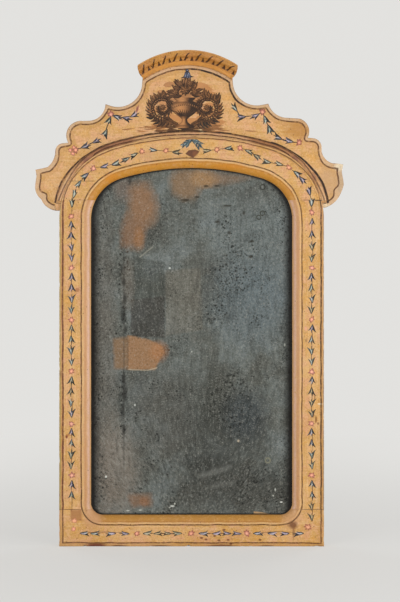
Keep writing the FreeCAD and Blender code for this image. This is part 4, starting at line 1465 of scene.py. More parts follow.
@dataclass
class Garlands:
    """The garlands of cut paper on the frame and the crest."""

    chance: random.Random
    finishes: tuple[Material, ...]
    band_level: float = -26.0
    crest_level: float = -20.0
    stile_line: float = 240.5
    flower_top: float = 661.0
    flower_step: float = 103.8

    def build(self) -> None:
        """Pastes every garland."""
        blade, petal = Cutting.leaf(10, 0.3), Cutting.leaf(8, 0.62)
        for name, level, lay in (
            ("left_stile_garland", self.band_level, lambda work: self.climb(work, -self.stile_line)),
            ("right_stile_garland", self.band_level, lambda work: self.climb(work, self.stile_line)),
            ("bottom_rail_garland", self.band_level, self.foot),
            ("head_garland", self.band_level, self.head),
            ("crest_garland", self.crest_level, self.crest),
        ):
            work = PaperWork(name, level, blade, petal, self.chance)
            lay(work)
            work.build(*self.finishes)

    def climb(self, work: PaperWork, across: float) -> None:
        """The garland on one stile: flowers with four tufts between them."""
        for index in range(6):
            up, step = self.flower_top - self.flower_step * index, 1.0
            if index == 0 and across > 0:
                up, step = up + 7.6, 1.1
            tufts = [(up - drop * step, way) for drop, way in ((18, 1), (40, 1), (62, -1), (83, -1))]
            if index == 5 and across < 0:
                tufts = tufts[:2]
            work.flower((across, up), 1.08)
            for place, way in tufts:
                at = (across + self.chance.uniform(-0.8, 0.8), place)
                work.sprig(at, way * math.pi / 2, 1.18, 0.85, 0.0 if way > 0 else 0.1)
            low = tufts[-1][0] - (12 if len(tufts) > 2 else 34)
            half = (up - 10 + low) / 2
            work.stem((across, up - 10), (across + 1, half - 2))
            work.stem((across + 1, half + 2), (across, low))

    def foot(self, work: PaperWork) -> None:
        """The garland along the rail."""
        level = (PHOTO_FOOT_Y - 533.6) * MM_PER_PIXEL
        for across in (-110.0, -1.6, 111.0):
            work.flower((across, level), 1.12)
        for side, up, size, fade in ((-236.5, 35.0, 1.0, 0.3), (-235.0, 50.5, 1.0, 0.35), (233.0, 38.0, 1.2, 0.0)):
            work.flower((side, up), size, fade)
        tufts = (84.4, 95, 111.2, 124.6, 147.6, 158.1, 166.7, 177.3, 203.4, 216.8, 226.4, 236.9)
        tufts += (258, 272.3, 284.7, 299.1)
        for index, pixel in enumerate(tufts):
            work.sprig((from_photo(pixel, 0)[0], level), math.pi if index % 4 < 2 else 0.0, 1.28, 0.95, 0.06, 0.62)
        for start, end in ((-222, -124), (-96, -14), (12, 98), (125, 222)):
            work.stem((start, level), (end, level))

    def chain(
        self, work: PaperWork, kinds: str, places: Sequence[Pair], size: float, weight: float, flare: float,
        deep: float, stalk: float,
    ) -> None:
        """A garland through given places, each tuft pointing at the nearer flower.

        Args:
            work: the paper it is pasted with.
            kinds: for each place, f for a flower, s for a tuft, and x for a flower that another garland has.
            places: pixels in the photograph.
            size: how big its tufts and flowers are against the stiles' ones.
            weight: how broad its leaves are.
            flare: how far they spread.
            deep: how much darker its flowers are.
            stalk: how broad its stalks are.
        """
        spots = [from_photo(*place) for place in places]
        for index, (spot, kind) in enumerate(zip(spots, kinds)):
            if kind == "f":
                work.flower(spot, size, -deep)
            if kind != "s":
                continue
            target = min((abs(i - index), i) for i, other in enumerate(kinds) if other != "s")[1]
            other = spots[index + (1 if target > index else -1)]
            work.sprig(spot, span(spot, other)[1], size * 1.08, weight, 0.0, flare)
            work.stem(spot, other, stalk, Tint.LEAF)

    def head(self, work: PaperWork) -> None:
        """The garland over the arch, with its bow."""
        left = (
            (176.5, 152.5), (165.5, 150.6), (153, 150.1), (142.5, 151), (133.9, 154.9), (125.7, 159.7),
            (115.7, 163.5), (104.5, 166.5), (93.7, 168.2), (85.1, 175.7), (78.6, 183.9), (74.3, 194.1),
            (71.8, 203.3), (71.4, 215.5),
        )
        right = (
            (206.6, 150.6), (216.7, 149.1), (229.1, 148.2), (240.4, 147.7), (249.2, 151.5), (257.3, 156.8),
            (266.8, 161.7), (279, 163.9), (289.2, 167.6), (297, 173.7), (302.4, 179.8), (309.2, 191),
            (311.6, 202.2), (312, 213),
        )
        for places, stalk in ((left, 0.4), (right, 0.5)):
            self.chain(work, "sfsfssssfssssx", places, 1.1, 1.15, 0.78, 0.0, stalk)
        tips = [from_photo(*tip) for tip in ((181.2, 146.6), (184.6, 147.0), (200.6, 148.6), (202.6, 145.2))]
        work.bow(from_photo(191.8, 138.2), tips, 10.0, 0.42)

    def crest(self, work: PaperWork) -> None:
        """The two swags on the crest, the bow at its top, and the urn and leaves between them."""
        left = (
            (134.4, 114.6), (126.4, 117.6), (116.7, 116.5), (111, 113.9), (109, 120.6), (105.1, 132.9),
            (96.3, 140.6), (85.1, 146.1), (75.6, 149.4),
        )
        right = (
            (234.7, 107.3), (241.2, 116.5), (255.5, 115.5), (262.7, 111.8), (265.7, 119.6), (269.8, 128.8),
            (278, 136.9), (289.2, 141), (299.4, 142),
        )
        for places, deep, stalk in ((left, 0.15, 0.85), (right, 0.25, 0.8)):
            self.chain(work, "sssfssssf", places, 1.16, 1.05, 0.92, deep, stalk)
        for start, tip in (((135.8, 113), (138.8, 104)), ((136.6, 111), (137.0, 105.4))):
            work.stem(from_photo(*start), from_photo(*tip), 1.5, Tint.FLOWER)
        for place, size in (((69.8, 150.2), 0.8), ((72.6, 152.8), 0.85), ((73.2, 147.2), 0.7)):
            work.flower(from_photo(*place), size, 0.1)
        for tip in ((180.8, 77.6), (193.8, 76.4)):
            work.stem(from_photo(187.4, 75.6), from_photo(*tip), 1.5, Tint.LEAF)
        tips = [from_photo(*tip) for tip in ((184.4, 77.6), (190.2, 77.4), (187.4, 80.4))]
        work.bow(from_photo(187.2, 70.4), tips, 8.0, 0.26)
        work.stem(from_photo(187.4, 78), from_photo(188.2, 86), 0.6, Tint.LEAF)
        Vignette(work, self.chance).draw()


@dataclass
class Vignette:
    """The print in the middle of the crest: a plain urn of flowers between two leafy scrolls."""

    work: PaperWork
    chance: random.Random
    middle: float = -14.0
    floor: float = 838.0

    def draw(self) -> None:
        """Draws the wash and the ground first, and then what stands on it."""
        vary, gauss = self.chance.uniform, self.chance.gauss
        for _ in range(80):
            x, z = gauss(0, 38), vary(6, 92)
            if abs(x) < 72 - 0.25 * z:
                tone = vary(0.75, 1.1)
                self.put(self.work.petal, (x - 14, z), vary(-0.3, 0.3), vary(22, 34), 0.7, (tone, tone), 0)
        for _ in range(90):
            x = gauss(0, 46)
            z = vary(-5, 8) - x * x * 0.0006
            tone = min(0.9, abs(x) / 90) * vary(0.6, 1.0)
            self.put(self.work.blade, (x - 12, z), vary(-0.12, 0.12), vary(14, 30), 0.34, (tone, tone + 0.1), 1)
        for side in (-1, 1):
            self.scroll(side)
        self.urn()
        self.bouquet()

    def put(
        self, shape: Cutting, at: Pair, way: float, length: float, width: float, tones: Pair, layer: int,
        bend: float = 0.0, tint: Tint = Tint.SEPIA,
    ) -> None:
        """Pastes a cut-out at a place measured from the foot of the urn."""
        self.work.stamp(shape, (self.middle + at[0], self.floor + at[1]), way, length, width, tones, tint, layer, bend)

    def leaf(self, at: Pair, way: float, length: float, tone: float, layer: int, bend: float = 0.0) -> None:
        """One engraved leaf: a dark blade with a lit one on it."""
        tint = Tint.LEAF if self.chance.random() < 0.14 else Tint.SEPIA
        self.put(self.work.blade, at, way, length, 1.35, (0.0, 0.05 + tone * 0.25), layer, bend, tint)
        x, z = stepped(at, way, length * 0.1)
        tones = (tone * 0.6, tone * 1.1)
        self.put(self.work.blade, (x - 0.5, z + 0.6), way, length * 0.76, 0.8, tones, layer + 1, bend)

    def bloom(self, at: Pair, radius: float, layer: int) -> None:
        """A round flower of three rings of petals."""
        rings = ((9, 1.0, 0.0, 0.3), (7, 0.74, 0.0, 0.62), (5, 0.44, 0.25, 0.95))
        for ring, (count, reach, low, high) in enumerate(rings):
            for index in range(count):
                way = ring * 0.35 + index * math.tau / count
                tones = (low, high + 0.18 * math.cos(way - 2.2))
                self.put(self.work.petal, at, way, radius * reach, 0.72, tones, layer + ring)

    def scroll(self, side: int) -> None:
        """A leafy branch that runs out from the urn's foot, rises, and curls in again.

        Args:
            side: -1 for the left branch, 1 for the right one.
        """
        vary = self.chance.uniform
        hub, steps = (side * 44.0, 41.0), 38

        def turned(way: float) -> float:
            return way if side > 0 else math.pi - way

        for index in range(steps):
            share = index / (steps - 1)
            radius = 26 - 19 * share
            turn = math.radians(-125 + 480 * share)
            place = (hub[0] + side * radius * math.cos(turn), hub[1] + radius * math.sin(turn))
            along = turn + math.pi / 2
            for lean, size in ((-0.95, 18 - 11 * share), (-0.4, 12 - 6 * share), (0.75, 10 - 5 * share)):
                way = turned(along + lean + vary(-0.12, 0.12))
                tone = vary(0.25, 0.8) * (1.1 if math.sin(way) > 0 else 0.6)
                bend = side * 0.14 * math.copysign(1, lean)
                self.leaf(place, way, size * vary(0.85, 1.15), tone, 2 + index % 2, bend)
            self.put(self.work.blade, place, turned(along), 6.5, 0.9, (0.0, 0.1), 5)
        self.bloom(hub, 7.5, 4)
        for index in range(9):
            root = (side * (12 + 2.8 * index), 4 + 1.4 * index)
            for way in (0.9, 0.1):
                self.leaf(root, turned(way), 12, vary(0.2, 0.6), 2)
        for index in range(12):
            way = math.radians(vary(35, 125))
            root = (side * (38 + 2.6 * index), 63 - 0.9 * index)
            self.leaf(root, turned(way), vary(12, 19), vary(0.2, 0.7), 2)

    def urn(self) -> None:
        """The urn, as a sheet lit from the left, with its handles and gadroons."""
        work = self.work
        rows = (
            (19, 0), (19, 5), (12, 7), (6, 12), (5, 17), (9, 21), (20, 29), (27, 38), (28, 45), (24, 51),
            (16, 54), (21, 58), (22, 61),
        )
        wide = np.linspace(-1, 1, 13)
        out, across = work.level - work.thickness * 5, len(wide)
        points = np.array([(self.middle + half * w, out, self.floor + rise) for half, rise in rows for w in wide])
        shades = [0.55 if r % 4 == 1 else 1.0 for r in range(len(rows))]
        light = [max(0.0, 1 - (w + 0.35) ** 2 * 1.4) * shade for shade in shades for w in wide]
        firsts = [r * across + c for r in range(len(rows) - 1) for c in range(across - 1)]
        faces = [(first, first + 1, first + across + 1, first + across) for first in firsts]
        work.add(points, 0.04 + 0.86 * np.array(light), faces, Tint.SEPIA)
        for side in (-1, 1):
            for way, start, length in ((0.55, (24, 45), 14), (-2.2, (35, 51), 15), (-2.7, (28, 39), 12)):
                heading = way if side > 0 else math.pi - way
                self.put(work.blade, (side * start[0], start[1]), heading, length, 0.6, (0.0, 0.15), 6, side * 0.3)
        for step in range(-4, 5):
            self.put(work.blade, (step * 1.6, 22), math.pi / 2 - step * 0.2, 15 + abs(step), 0.55, (0.0, 0.2), 6)
        for step in range(-6, 7):
            self.put(work.petal, (step * 3.9, 44.5 - 0.16 * step**2), math.pi / 2, 5, 0.8, (0.0, 0.95), 6)

    def bouquet(self) -> None:
        """Leaves round the urn's mouth with five blooms on them."""
        vary = self.chance.uniform
        for index in range(64):
            way = math.radians(vary(-12, 192))
            share = math.sqrt(self.chance.random())
            root = (math.cos(way) * 24 * share, 66 + math.sin(way) * 20 * share)
            tone = vary(0.15, 0.75)
            self.leaf(root, way + vary(-0.45, 0.45), vary(12, 19), tone, 2 + index % 3)
        for x, z, radius in ((-19, 71, 8.5), (20, 72, 8.5), (-9, 88, 8.0), (11, 89, 8.0), (0, 75, 11.5)):
            self.bloom((x, z), radius, 6)


# The whole mirror


@dataclass
class WallMirror:
    """All that is dressed: the painted front, the glass and the plain back."""

    nodes: dict[str, Object]
    sight: SightLine = field(default_factory=SightLine)
    seed: int = 1760

    def strokes(self, rim_hue: str, half: float = 1.25) -> tuple[Stroke, ...]:
        """The painted lines of a member, from the opening outwards."""
        return (Stroke("sight_mm", 18.9, 1.2, "#4C2E10", 0.92), Stroke("line_mm", 7.4, half, rim_hue, 0.94))

    def upright_zones_with_highlight(self, edge: str) -> tuple[Stroke, ...]:
        """The broader tones on a stile's moulding: its hollow paler and pinkish with a pinkish strip along its middle,
        which are painted highlight, the side lamps' sheen on the varnish, and worn strips along its outer edge.

        Args:
            edge: the hue of the strip along its outer edge.
        """
        return (
            # painted highlight: the hollow paler and pinkish, brightest in the strip at 4.6 mm from the opening
            Stroke("sight_mm", 7.0, 7.0, "#C29268", 0.85),
            Stroke("sight_mm", 4.6, 2.2, "#D6AE98", 0.75),
            Stroke("sight_mm", 0.6, 1.2, "#D9AC74", 0.7),
            Stroke("sight_mm", 10.6, 1.5, "#B88048", 0.6),
            Stroke("sight_mm", 15.6, 1.4, "#D8B07C", 0.7),
            Stroke("line_mm", 1.2, 2.4, edge, 0.88),
            Stroke("line_mm", 5.2, 1.1, "#A9783F", 0.7),
        )

    def level_zones(self, slope: str, edge: str) -> tuple[Stroke, ...]:
        """The broader tones on a level moulding.

        Args:
            slope: the deeper orange of its hollow, which has no painted highlight.
            edge: the hue of the strip along its outer edge.
        """
        return (
            Stroke("sight_mm", 6.8, 7.2, slope, 0.92),
            Stroke("sight_mm", 12.4, 1.4, "#9E642A", 0.45),
            Stroke("sight_mm", 15.6, 1.3, "#D9B27E", 0.75),
            Stroke("line_mm", 2.6, 3.0, edge, 0.65),
        )

    def joint(self, across: float, up: float, half: float, depth: float) -> Stain:
        """A fine open joint across a member."""
        return Stain(across, up, half, 0.55, "#4E3018", depth, True)

    def build_front(self) -> None:
        """Makes the painted woodwork."""
        places = (
            (-243, 74, 22, 0.8), (243, 74, 22, 0.8), (-222, 693, 18, 0.35), (244, 693, 20, 0.95),
            (256, 692, 9, 0.95),
        )
        joints = tuple(self.joint(*place) for place in places)
        stains = joints + patches(
            (249, 254, 1.9, 7, "#74420F", 0.85), (244, 262, 1.5, 3.4, "#7C4A1A", 0.8),
            (253, 246, 1.8, 2.6, "#74420F", 0.8), (246, 298, 1.2, 6, "#8A5622", 0.7),
            (257, 285, 4.5, 1.6, "#E9DABB", 0.8), (-250, 219, 2.2, 3.2, "#6B1D10", 0.9),
            (-246, 223, 4, 2.4, "#A4632E", 0.6), (-258, 196, 1.8, 12, "#8A4A24", 0.6),
            (-229, 513, 5, 4, "#8E4D1E", 0.65), (-262, 345, 3, 6, "#74492A", 0.5),
            (228, 436, 2.4, 4, "#E0A08A", 0.7), (229, 412, 2.0, 3, "#7A5A34", 0.6),
        )
        flecks = (
            (201.5, 538), (206, 539.5), (214.5, 536), (219, 540.5), (228, 540), (231, 543.8), (260, 540),
            (224, 530),
        )
        rail_stains = joints + tuple(Stain(*from_photo(x, y), 3.0, 2.0, "#66361C", 0.85) for x, y in flecks)
        rail_stains += patches(
            # the broad pinkish patches 198 mm either side, 62 mm up, are painted highlight that carries the stiles' lit
            # hollow round the opening's lower corners
            (-231, 63, 11, 11, "#A06C42", 0.75, True), (-198, 62, 18, 26, "#C39368", 0.85),
            (198, 62, 18, 26, "#C7986A", 0.75), (203, 43, 9, 7, "#6A3E20", 0.85),
            (204, 28, 2.5, 14, "#7C4E28", 0.6), (-190, 2, 19, 5, "#5E2418", 0.9), (-146, 0, 16, 3, "#5A3420", 0.8),
            (-62, 0, 20, 3, "#5E3A22", 0.75), (60, 1, 26, 3, "#5E3019", 0.75), (150, 0, 14, 3, "#5E3A22", 0.7),
        )
        bared = (
            (185.2, 153.6), (188.8, 150.1), (195.2, 149.2), (199.6, 151.4), (195.8, 155.8), (193.3, 157.7),
            (189.5, 156.4),
        )
        head_stains = joints + (self.joint(-222, 731, 27, 0.8),)
        head_stains += patches(
            (bared, "#573021", 0.95, 0.7, 2.0), (7, 786, 5, 5, "#8A5634", 0.6), (75, 760, 30, 5, "#C67C1A", 0.55),
            (-160, 738, 14, 9, "#CA8020", 0.6), (-70, 781, 42, 9, "#BE9466", 0.4),
        )
        left, right = self.strokes("#5E2C18", 1.6), self.strokes("#361A0A", 1.3)
        left_zones, right_zones = self.upright_zones_with_highlight("#94803F"), self.upright_zones_with_highlight("#84684A")
        rail, head = self.strokes("#5E3A1E"), self.strokes("#6B4424")
        rail_zones, head_zones = self.level_zones("#AF7C34", "#B0834C"), self.level_zones("#BC7F22", "#D3AD7B")
        finishes = {}
        for member, name, grain, strokes, zones, spots in (
            ("left_stile", "left_stile", Grain.UPRIGHT, left, left_zones, stains),
            ("right_stile", "right_stile", Grain.UPRIGHT, right, right_zones, stains),
            ("bottom_rail", "rail", Grain.LEVEL, rail, rail_zones, rail_stains),
            ("arched_head", "head", Grain.LEVEL, head, head_zones, head_stains),
        ):
            lacquer = Lacquer("lacquered_poplar_" + name, grain, strokes=strokes, zones=zones, stains=spots)
            finishes[member] = lacquer.material()
        FrameMembers(self.sight).build(finishes)
        bead = Lacquer(
            "worn_bead_poplar",
            hues=Hues("#CCA070", "#B07B48", "#DDB98C", "#C99675", "#BC8850", "#6F4726"),
            zones=(Stroke("bead_mm", 63.6, 1.0, "#D0A873", 0.8),),
            # the dark line at 66 mm is paint, and also painted shade for the groove between the head and the bead,
            # which is kept shallow
            strokes=(Stroke("crown_bead_mm", 66.0, 1.4, "#40200A", 0.94), Stroke("bead_mm", 71.8, 1.5, "#4A2810", 0.8)),
            stains=patches(
                (((76, 172), (98, 140), (130, 130), (138, 150)), "#8C583B", 0.8, 6.0, 14.0),
                (((250, 130), (284, 140), (306, 168), (250, 160)), "#94623C", 0.75, 6.0, 14.0),
                (206, 775, 9, 6, "#744A44", 0.6), (246, 741, 5, 9, "#8A5238", 0.6),
                (-212, 774, 9, 5, "#6C4442", 0.6), (-171, 798, 16, 4, "#5A3C28", 0.5),
                (20, 832, 6, 4, "#E9D3A4", 0.9),
            ),
        )
        ArchMoulding(self.sight).build(bead.material())
        crest = Lacquer(
            "painted_crest_poplar",
            hues=Hues("#D6A66F", "#CD9C56", "#E6C89A", "#DCA57E"),
            strokes=(
                Stroke("border_mm", 6.9, 1.5, "#4E2B10", 0.94),
                Stroke("heavy_mm", 7.1, 1.9, "#22120A", 0.96),
                Stroke("arch_mm", 0.4, 1.8, "#3A1A06", 0.97),
                Stroke("heavy_arch_mm", 0.6, 2.3, "#1E0E05", 0.97),
            ),
            zones=(
                Stroke("border_mm", 2.0, 3.6, "#CAA986", 0.85),
                Stroke("border_mm", 11.5, 4.0, "#B98A48", 0.4),
                Stroke("arch_mm", -3.2, 3.2, "#B08658", 0.8),
                Stroke("rim_mm", 0.0, 0.8, "#8E6846", 0.75),
            ),
            stains=patches(
                (276, 731, 22, 28, "#BE9971", 0.6), (299, 760, 12, 8, "#E6D6B8", 0.85),
                (268, 682, 8, 5, "#E2CFAE", 0.8), (212, 834, 26, 16, "#B07A36", 0.68),
                (300, 728, 7, 30, "#B39A7A", 0.6), (20, 832, 6, 4, "#E9D3A4", 0.9),
            ),
        )
        CrestBoard(self.sight).build(self.nodes["crest_board"], crest.material())
        Cornice().build(self.nodes["crest_cornice"], Gadrooned().material())

    def build_glass(self) -> None:
        """Dresses the plate and its foil."""
        burns = patches(
            (-136, 715, 18, 22, "#75655A", 0.5),
            (((131, 184), (147, 182), (156, 195), (157, 216), (150, 226), (131, 231),
              (127, 214)), "#8A684B", 0.9, 11.0, 24.0),
            (((126, 215), (147, 222), (143, 243), (136, 249), (121, 247), (121, 225)), "#7E6048", 0.85, 8.0, 18.0),
            (-106, 616, 10, 22, "#9A6C42", 0.5),
            (((169, 179), (176, 170), (202, 169), (201, 189), (194, 199), (184, 200),
              (173, 194)), "#836A50", 0.9, 9.0, 20.0),
            (((200, 170), (230, 173), (259, 176), (245, 182), (217, 186), (200, 190)), "#7E6752", 0.85, 8.0, 16.0),
            (24, 736, 24, 16, "#A07C52", 0.65),
            (((113, 339), (128.5, 337), (128.5, 369), (114, 369)), "#80654A", 0.9, 3.5, 9.0),
            (((127.5, 335.5), (150, 340), (161.5, 346), (164, 352), (159, 362), (155, 370),
              (127.5, 370)), "#94704F", 0.94, 2.2, 6.0),
            (-66, 390, 17, 18, "#A87349", 0.5),
            (((127, 496), (151, 494), (152, 507), (132, 508)), "#7C6049", 0.8, 5.0, 12.0),
            (-96, 88, 9, 8, "#8C6243", 0.6), (-128, 524, 12, 50, "#735E4C", 0.24),
        )
        # broad veils darken and lighten the plate's grey: partly decay, partly its painted reflection of dark
        # surroundings
        veils = patches(
            (((133, 256), (164.5, 262), (164.5, 338), (131, 336)), "#3F423C", 0.6, 2.0, 9.0),
            (((131, 300), (164.5, 296), (164.5, 338), (130, 336)), "#3B3632", 0.6, 1.4, 6.0),
            (((165.5, 270), (200, 268), (203, 330), (165.5, 336)), "#6F6B60", 0.6, 2.0, 8.0),
            (((113, 374), (147, 372), (150, 417), (114, 418)), "#42423D", 0.45, 2.4, 10.0),
            (130, 600, 84, 100, "#6F7878", 0.6), (120, 490, 80, 80, "#5E6C73", 0.45),
            (20, 280, 80, 70, "#44453F", 0.6), (60, 190, 90, 80, "#3C3D38", 0.7),
            (90, 110, 130, 46, "#3F3F3A", 0.65), (30, 166, 48, 17, "#2E2F2B", 0.55),
            (-178, 330, 26, 330, "#69645C", 0.6), (-150, 150, 40, 90, "#83776A", 0.6),
            (-60, 260, 60, 90, "#55534D", 0.5), (108, 262, 42, 48, "#32393D", 0.72),
        )
        rot = (
            (121.5, 268, 2, 5), (123.5, 282, 3, 5), (124.5, 299, 4, 7), (123, 315, 4.5, 10), (125.5, 330, 3, 5),
            (123.5, 380, 3.5, 7), (124.5, 393, 4, 9), (122.5, 411, 3, 10), (123.5, 430, 3, 8), (129.5, 180, 3, 6),
        )
        marks = tuple(Stain(*from_photo(x, y), wide * 1.1, tall * 1.5, "#1A1917", 0.62) for x, y, wide, tall in rot)
        specks = (
            (186, 199.6, 5, 1.8), (197, 196.6, 3, 1.6), (206, 185.6, 3, 1.6), (217, 185.4, 4, 1.2),
            (227.5, 205.3, 5, 1.2), (244, 212.5, 1.6, 3), (217, 221.5, 3, 1.8), (229, 232.4, 2.2, 2.2),
            (252, 241, 3, 1.6), (251, 256.4, 2.6, 2),
        )
        marks += tuple(Stain(*from_photo(x, y), wide * 1.6, tall * 1.5, "#241E12", 0.75) for x, y, wide, tall in specks)
        marks += patches(
            (-136, 374, 1.6, 222, "#2A2824", 0.35, True), (-128, 388, 0.8, 30, "#55402E", 0.6, True),
            (31, 286, 0.9, 62, "#3A3C38", 0.55, True),
            (((128, 369.2), (147, 370.2), (147, 371.2), (128, 370.2)), "#B9AC93", 0.5, 0.7, 1.5),
            (((147, 370.2), (157, 367.6), (157.2, 368.6), (147, 371.2)), "#B9AC93", 0.6, 0.7, 1.5),
            (((139, 256.6), (152.4, 246), (153, 246.8), (139.6, 257.6)), "#A29F90", 0.45, 0.9, 2.0),
            (((197, 476), (214, 469), (231, 466), (231, 470), (200, 479.5)), "#7E7F79", 0.32, 3.4, 7.0),
            (((207, 487), (222, 483), (236, 482), (236, 486), (210, 489.5)), "#787973", 0.28, 3.4, 7.0),
            (143, 720, 4.6, 5.0, "#1F1C10", 1.0, False, True), (142, 667, 4.4, 4.6, "#24210F", 0.95, False, True),
            (135, 659, 4.2, 4.4, "#24210F", 0.95, False, True), (153, 171, 5.0, 5.0, "#8E8B70", 0.6, False, True),
            (-44, 557, 1.8, 1.8, "#C9CDC6", 0.9), (94, 210, 2.2, 2.4, "#B5A994", 0.85),
            (-172, 138, 2.0, 2.4, "#D2D5CC", 0.85), (-114, 282, 1.8, 2.2, "#BFC2BA", 0.8),
            (180, 87, 2.4, 1.6, "#D8DAD2", 0.9), (-39, 79, 4.0, 1.6, "#CFD1C8", 0.8),
            (-128, 70, 3.4, 1.4, "#C9CBC0", 0.7), (-103, 71, 3.0, 1.2, "#C9CBC0", 0.65),
            (-34, 84, 1.6, 1.8, "#C9CBC0", 0.7), (-44, 76, 2.0, 1.4, "#B9BBB0", 0.6),
            (168, 112, 1.6, 3.0, "#BFC1B8", 0.7), (164, 100, 1.4, 1.6, "#BFC1B8", 0.7),
            (187, 403, 1.4, 3.0, "#C9CBC0", 0.7), (0, 389, 1.5, 1.5, "#BFC1B8", 0.7),
            (((254, 512.4), (262, 513), (272, 515.2), (254, 515.2)), "#B8956A", 0.85, 0.6, 2.0),
        )
        crowds = (
            (66, 520, 34, 84, 0.2), (110, 575, 24, 40, 0.14), (72, 280, 46, 66, 0.24),
            (-136, 545, 9, 90, 0.42), (-137, 280, 9, 80, 0.36), (130, 110, 60, 50, 0.14),
            (-20, 690, 60, 26, 0.14), (150, 640, 40, 60, 0.1),
        )
        glass = OldGlass(burns=burns, veils=veils, marks=marks, crowds=crowds).material()
        MirrorPlate(self.sight).build(self.nodes["mirror_glass"], glass)
        foil = Metal("tin_amalgam_foil", "#6C6E6E", "#3D3E3D", 0.8, 0.5, 22.0).material()
        paint(self.nodes["tin_foil"], foil)

    def build_back(self) -> None:
        """Dresses the boards, battens, pegs and ironwork."""
        board = BareWood("bare_poplar_board", ring_width=3.6)
        batten = BareWood("fir_batten", "#4C3620", "#7D5B38", "#A17C50", ring_width=2.6)
        peg = BareWood("beech_peg", "#55371F", "#7E5736", "#9A7049", ring_width=2.0)
        iron = Metal("forged_iron", "#3A3836", "#5A3A26", 0.85, 0.5, 2.5)
        ironwork = ("retaining_brads", "batten_nails", "cornice_nails", "moulding_brads", "ring_staple", "hanging_ring")
        for finish, names in (
            (board, ("left_back_board", "centre_back_board", "right_back_board")),
            (batten, ("centre_batten", "left_batten", "right_batten")),
            (peg, ("lap_pegs",)),
            (iron, ironwork),
        ):
            material = finish.material()
            for name in names:
                paint(self.nodes[name], material)

    def build_paper(self) -> None:
        """Pastes the cut paper."""
        papers = (
            CutPaper("blue_green_cut_paper", "#1A1813", "#4F5650", "#BCB4A2", ("#5A4E36", "#524A56")),
            CutPaper("rose_cut_paper", "#94483A", "#BE7860", "#F2D6B2", ("#B67A58", "#BC7E6C")),
            CutPaper("sepia_print_paper", "#2E1C12", "#744C2B", "#BE935E", ("#744C2B", "#6E4B30")),
            CutPaper("slate_blue_cut_paper", "#1F2A30", "#57676E", "#C9CBC4", ("#53686C", "#5E6078")),
        )
        Garlands(random.Random(self.seed), tuple(paper.material() for paper in papers)).build()


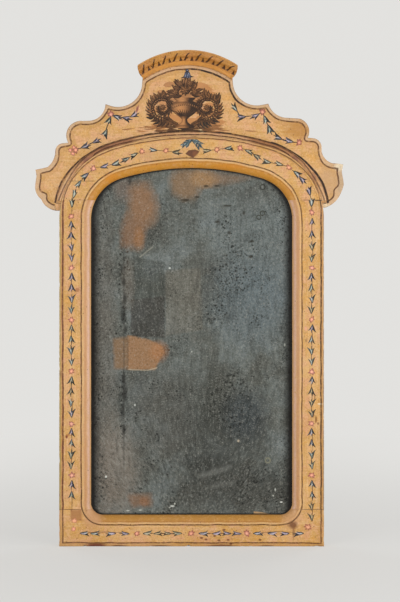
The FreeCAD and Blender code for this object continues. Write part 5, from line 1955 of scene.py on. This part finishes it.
@dataclass
class Studio:
    """Pale floor, two broad lamps and the camera in front."""

    lens: float = 85.0
    sensor: float = 36.0
    aim_across: float = (PHOTO_WIDE / 2 - PHOTO_CENTRE_X) * MM_PER_PIXEL
    aim_up: float = (PHOTO_FOOT_Y - PHOTO_TALL / 2) * MM_PER_PIXEL
    floor_size: float = 60.0
    fill: float = 0.31
    paleness: float = 0.86

    def build(self) -> None:
        """Places the floor, the lamps, the sky and the camera."""
        self.lay_floor()
        for name, azimuth, away, wide, tall, power in (
            ("soft_lamp_left", -36.0, 2.5, 1.1, 0.9, 22.5),
            ("soft_lamp_right", 36.0, 2.5, 1.1, 0.9, 22.5),
            ("side_lamp_left", -73.0, 2.0, 0.55, 1.3, 5.0),
            ("side_lamp_right", 73.0, 2.0, 0.55, 1.3, 15.0),
            ("back_lamp_left", -140.0, 2.6, 1.2, 1.2, 22.0),
            ("back_lamp_right", 140.0, 2.6, 1.2, 1.2, 22.0),
        ):
            self.hang_lamp(name, azimuth, away, (wide, tall), power)
        self.paint_sky()
        away = PHOTO_TALL * MM_PER_PIXEL * self.lens / self.sensor
        lens = bpy.data.cameras.new("camera")
        lens.lens, lens.sensor_width = self.lens, self.sensor
        camera = put_in_scene("camera", lens)
        camera.location = (self.aim_across * MM, (-away - 27.5) * MM, self.aim_up * MM)
        camera.rotation_euler = (math.pi / 2, 0, 0)
        bpy.context.scene.camera = camera
        bpy.context.scene.view_settings.view_transform = "Standard"

    def lay_floor(self) -> None:
        """A wide pale floor, plain to the camera."""
        bpy.ops.mesh.primitive_plane_add(size=self.floor_size)
        floor = bpy.context.object
        floor.name = "studio_floor"
        mix = Mixing("pale_studio_floor", "#E4E3E0")
        glow = mix.add("Emission", {"Color": PALE, "Strength": self.paleness})
        away = mix.add("VectorMath", {0: mix.spot}, operation="LENGTH")
        plain = mix.add("MapRange", {"Value": away, 1: 0.5, 2: 2.4, 3: 0.6, 4: 1.0})
        seen = mix.add("Math", {0: mix.add("LightPath").outputs["Is Camera Ray"], 1: plain}, operation="MULTIPLY")
        mixed = mix.add("MixShader", {0: seen, 1: mix.shader, 2: glow})
        wire(mix.tree, mix.tree.nodes["Material Output"], {"Surface": mixed})
        floor.data.materials.append(mix.done({"Roughness": 0.9}))
        floor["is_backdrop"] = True

    def hang_lamp(self, name: str, azimuth: float, away: float, size: tuple[float, float], power: float) -> None:
        """Hangs one broad soft lamp at the mirror's middle height.

        Args:
            name: the lamp's name.
            azimuth: degrees from straight in front, to the right.
            away: metres from the mirror.
            size: its width and height in metres.
            power: its power in watts.
        """
        light = bpy.data.lights.new(name, "AREA")
        light.shape, (light.size, light.size_y), light.energy = "RECTANGLE", size, power
        lamp = put_in_scene(name, light)
        turn = math.radians(azimuth)
        lamp.location = (math.sin(turn) * away, -math.cos(turn) * away, 0.62)
        towards = Vector((0, 0, 0.5)) - lamp.location
        lamp.rotation_euler = towards.to_track_quat("-Z", "Y").to_euler()

    def paint_sky(self) -> None:
        """A weak even fill that shows as pale where the camera or a reflection sees it."""
        world = bpy.data.worlds.new("studio_sky")
        bpy.context.scene.world = world
        world.use_nodes = True
        tree = world.node_tree
        ray = add_node(tree, "LightPath").outputs
        seen = add_node(tree, "Math", {0: ray["Is Camera Ray"], 1: ray["Is Glossy Ray"]}, operation="MAXIMUM")
        seen = add_node(tree, "Math", {0: seen, 1: ray["Is Transmission Ray"]}, operation="MAXIMUM")
        strength = add_node(tree, "MapRange", {"Value": seen, 3: self.fill, 4: self.paleness})
        wire(tree, tree.nodes["Background"], {"Color": PALE, "Strength": strength})


def main() -> tuple[list[float], list[float]]:
    """Builds the mirror and the studio in order.

    Returns:
        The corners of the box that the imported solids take.
    """
    logging.basicConfig(level=logging.INFO, format="%(message)s")
    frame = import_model()
    low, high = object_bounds()
    Studio().build()
    mirror = WallMirror(frame["nodes"])
    noise.seed_set(mirror.seed)
    mirror.build_front()
    mirror.build_glass()
    mirror.build_back()
    mirror.build_paper()
    return list(low), list(high)


if __name__ == "__main__":
    solids = main()
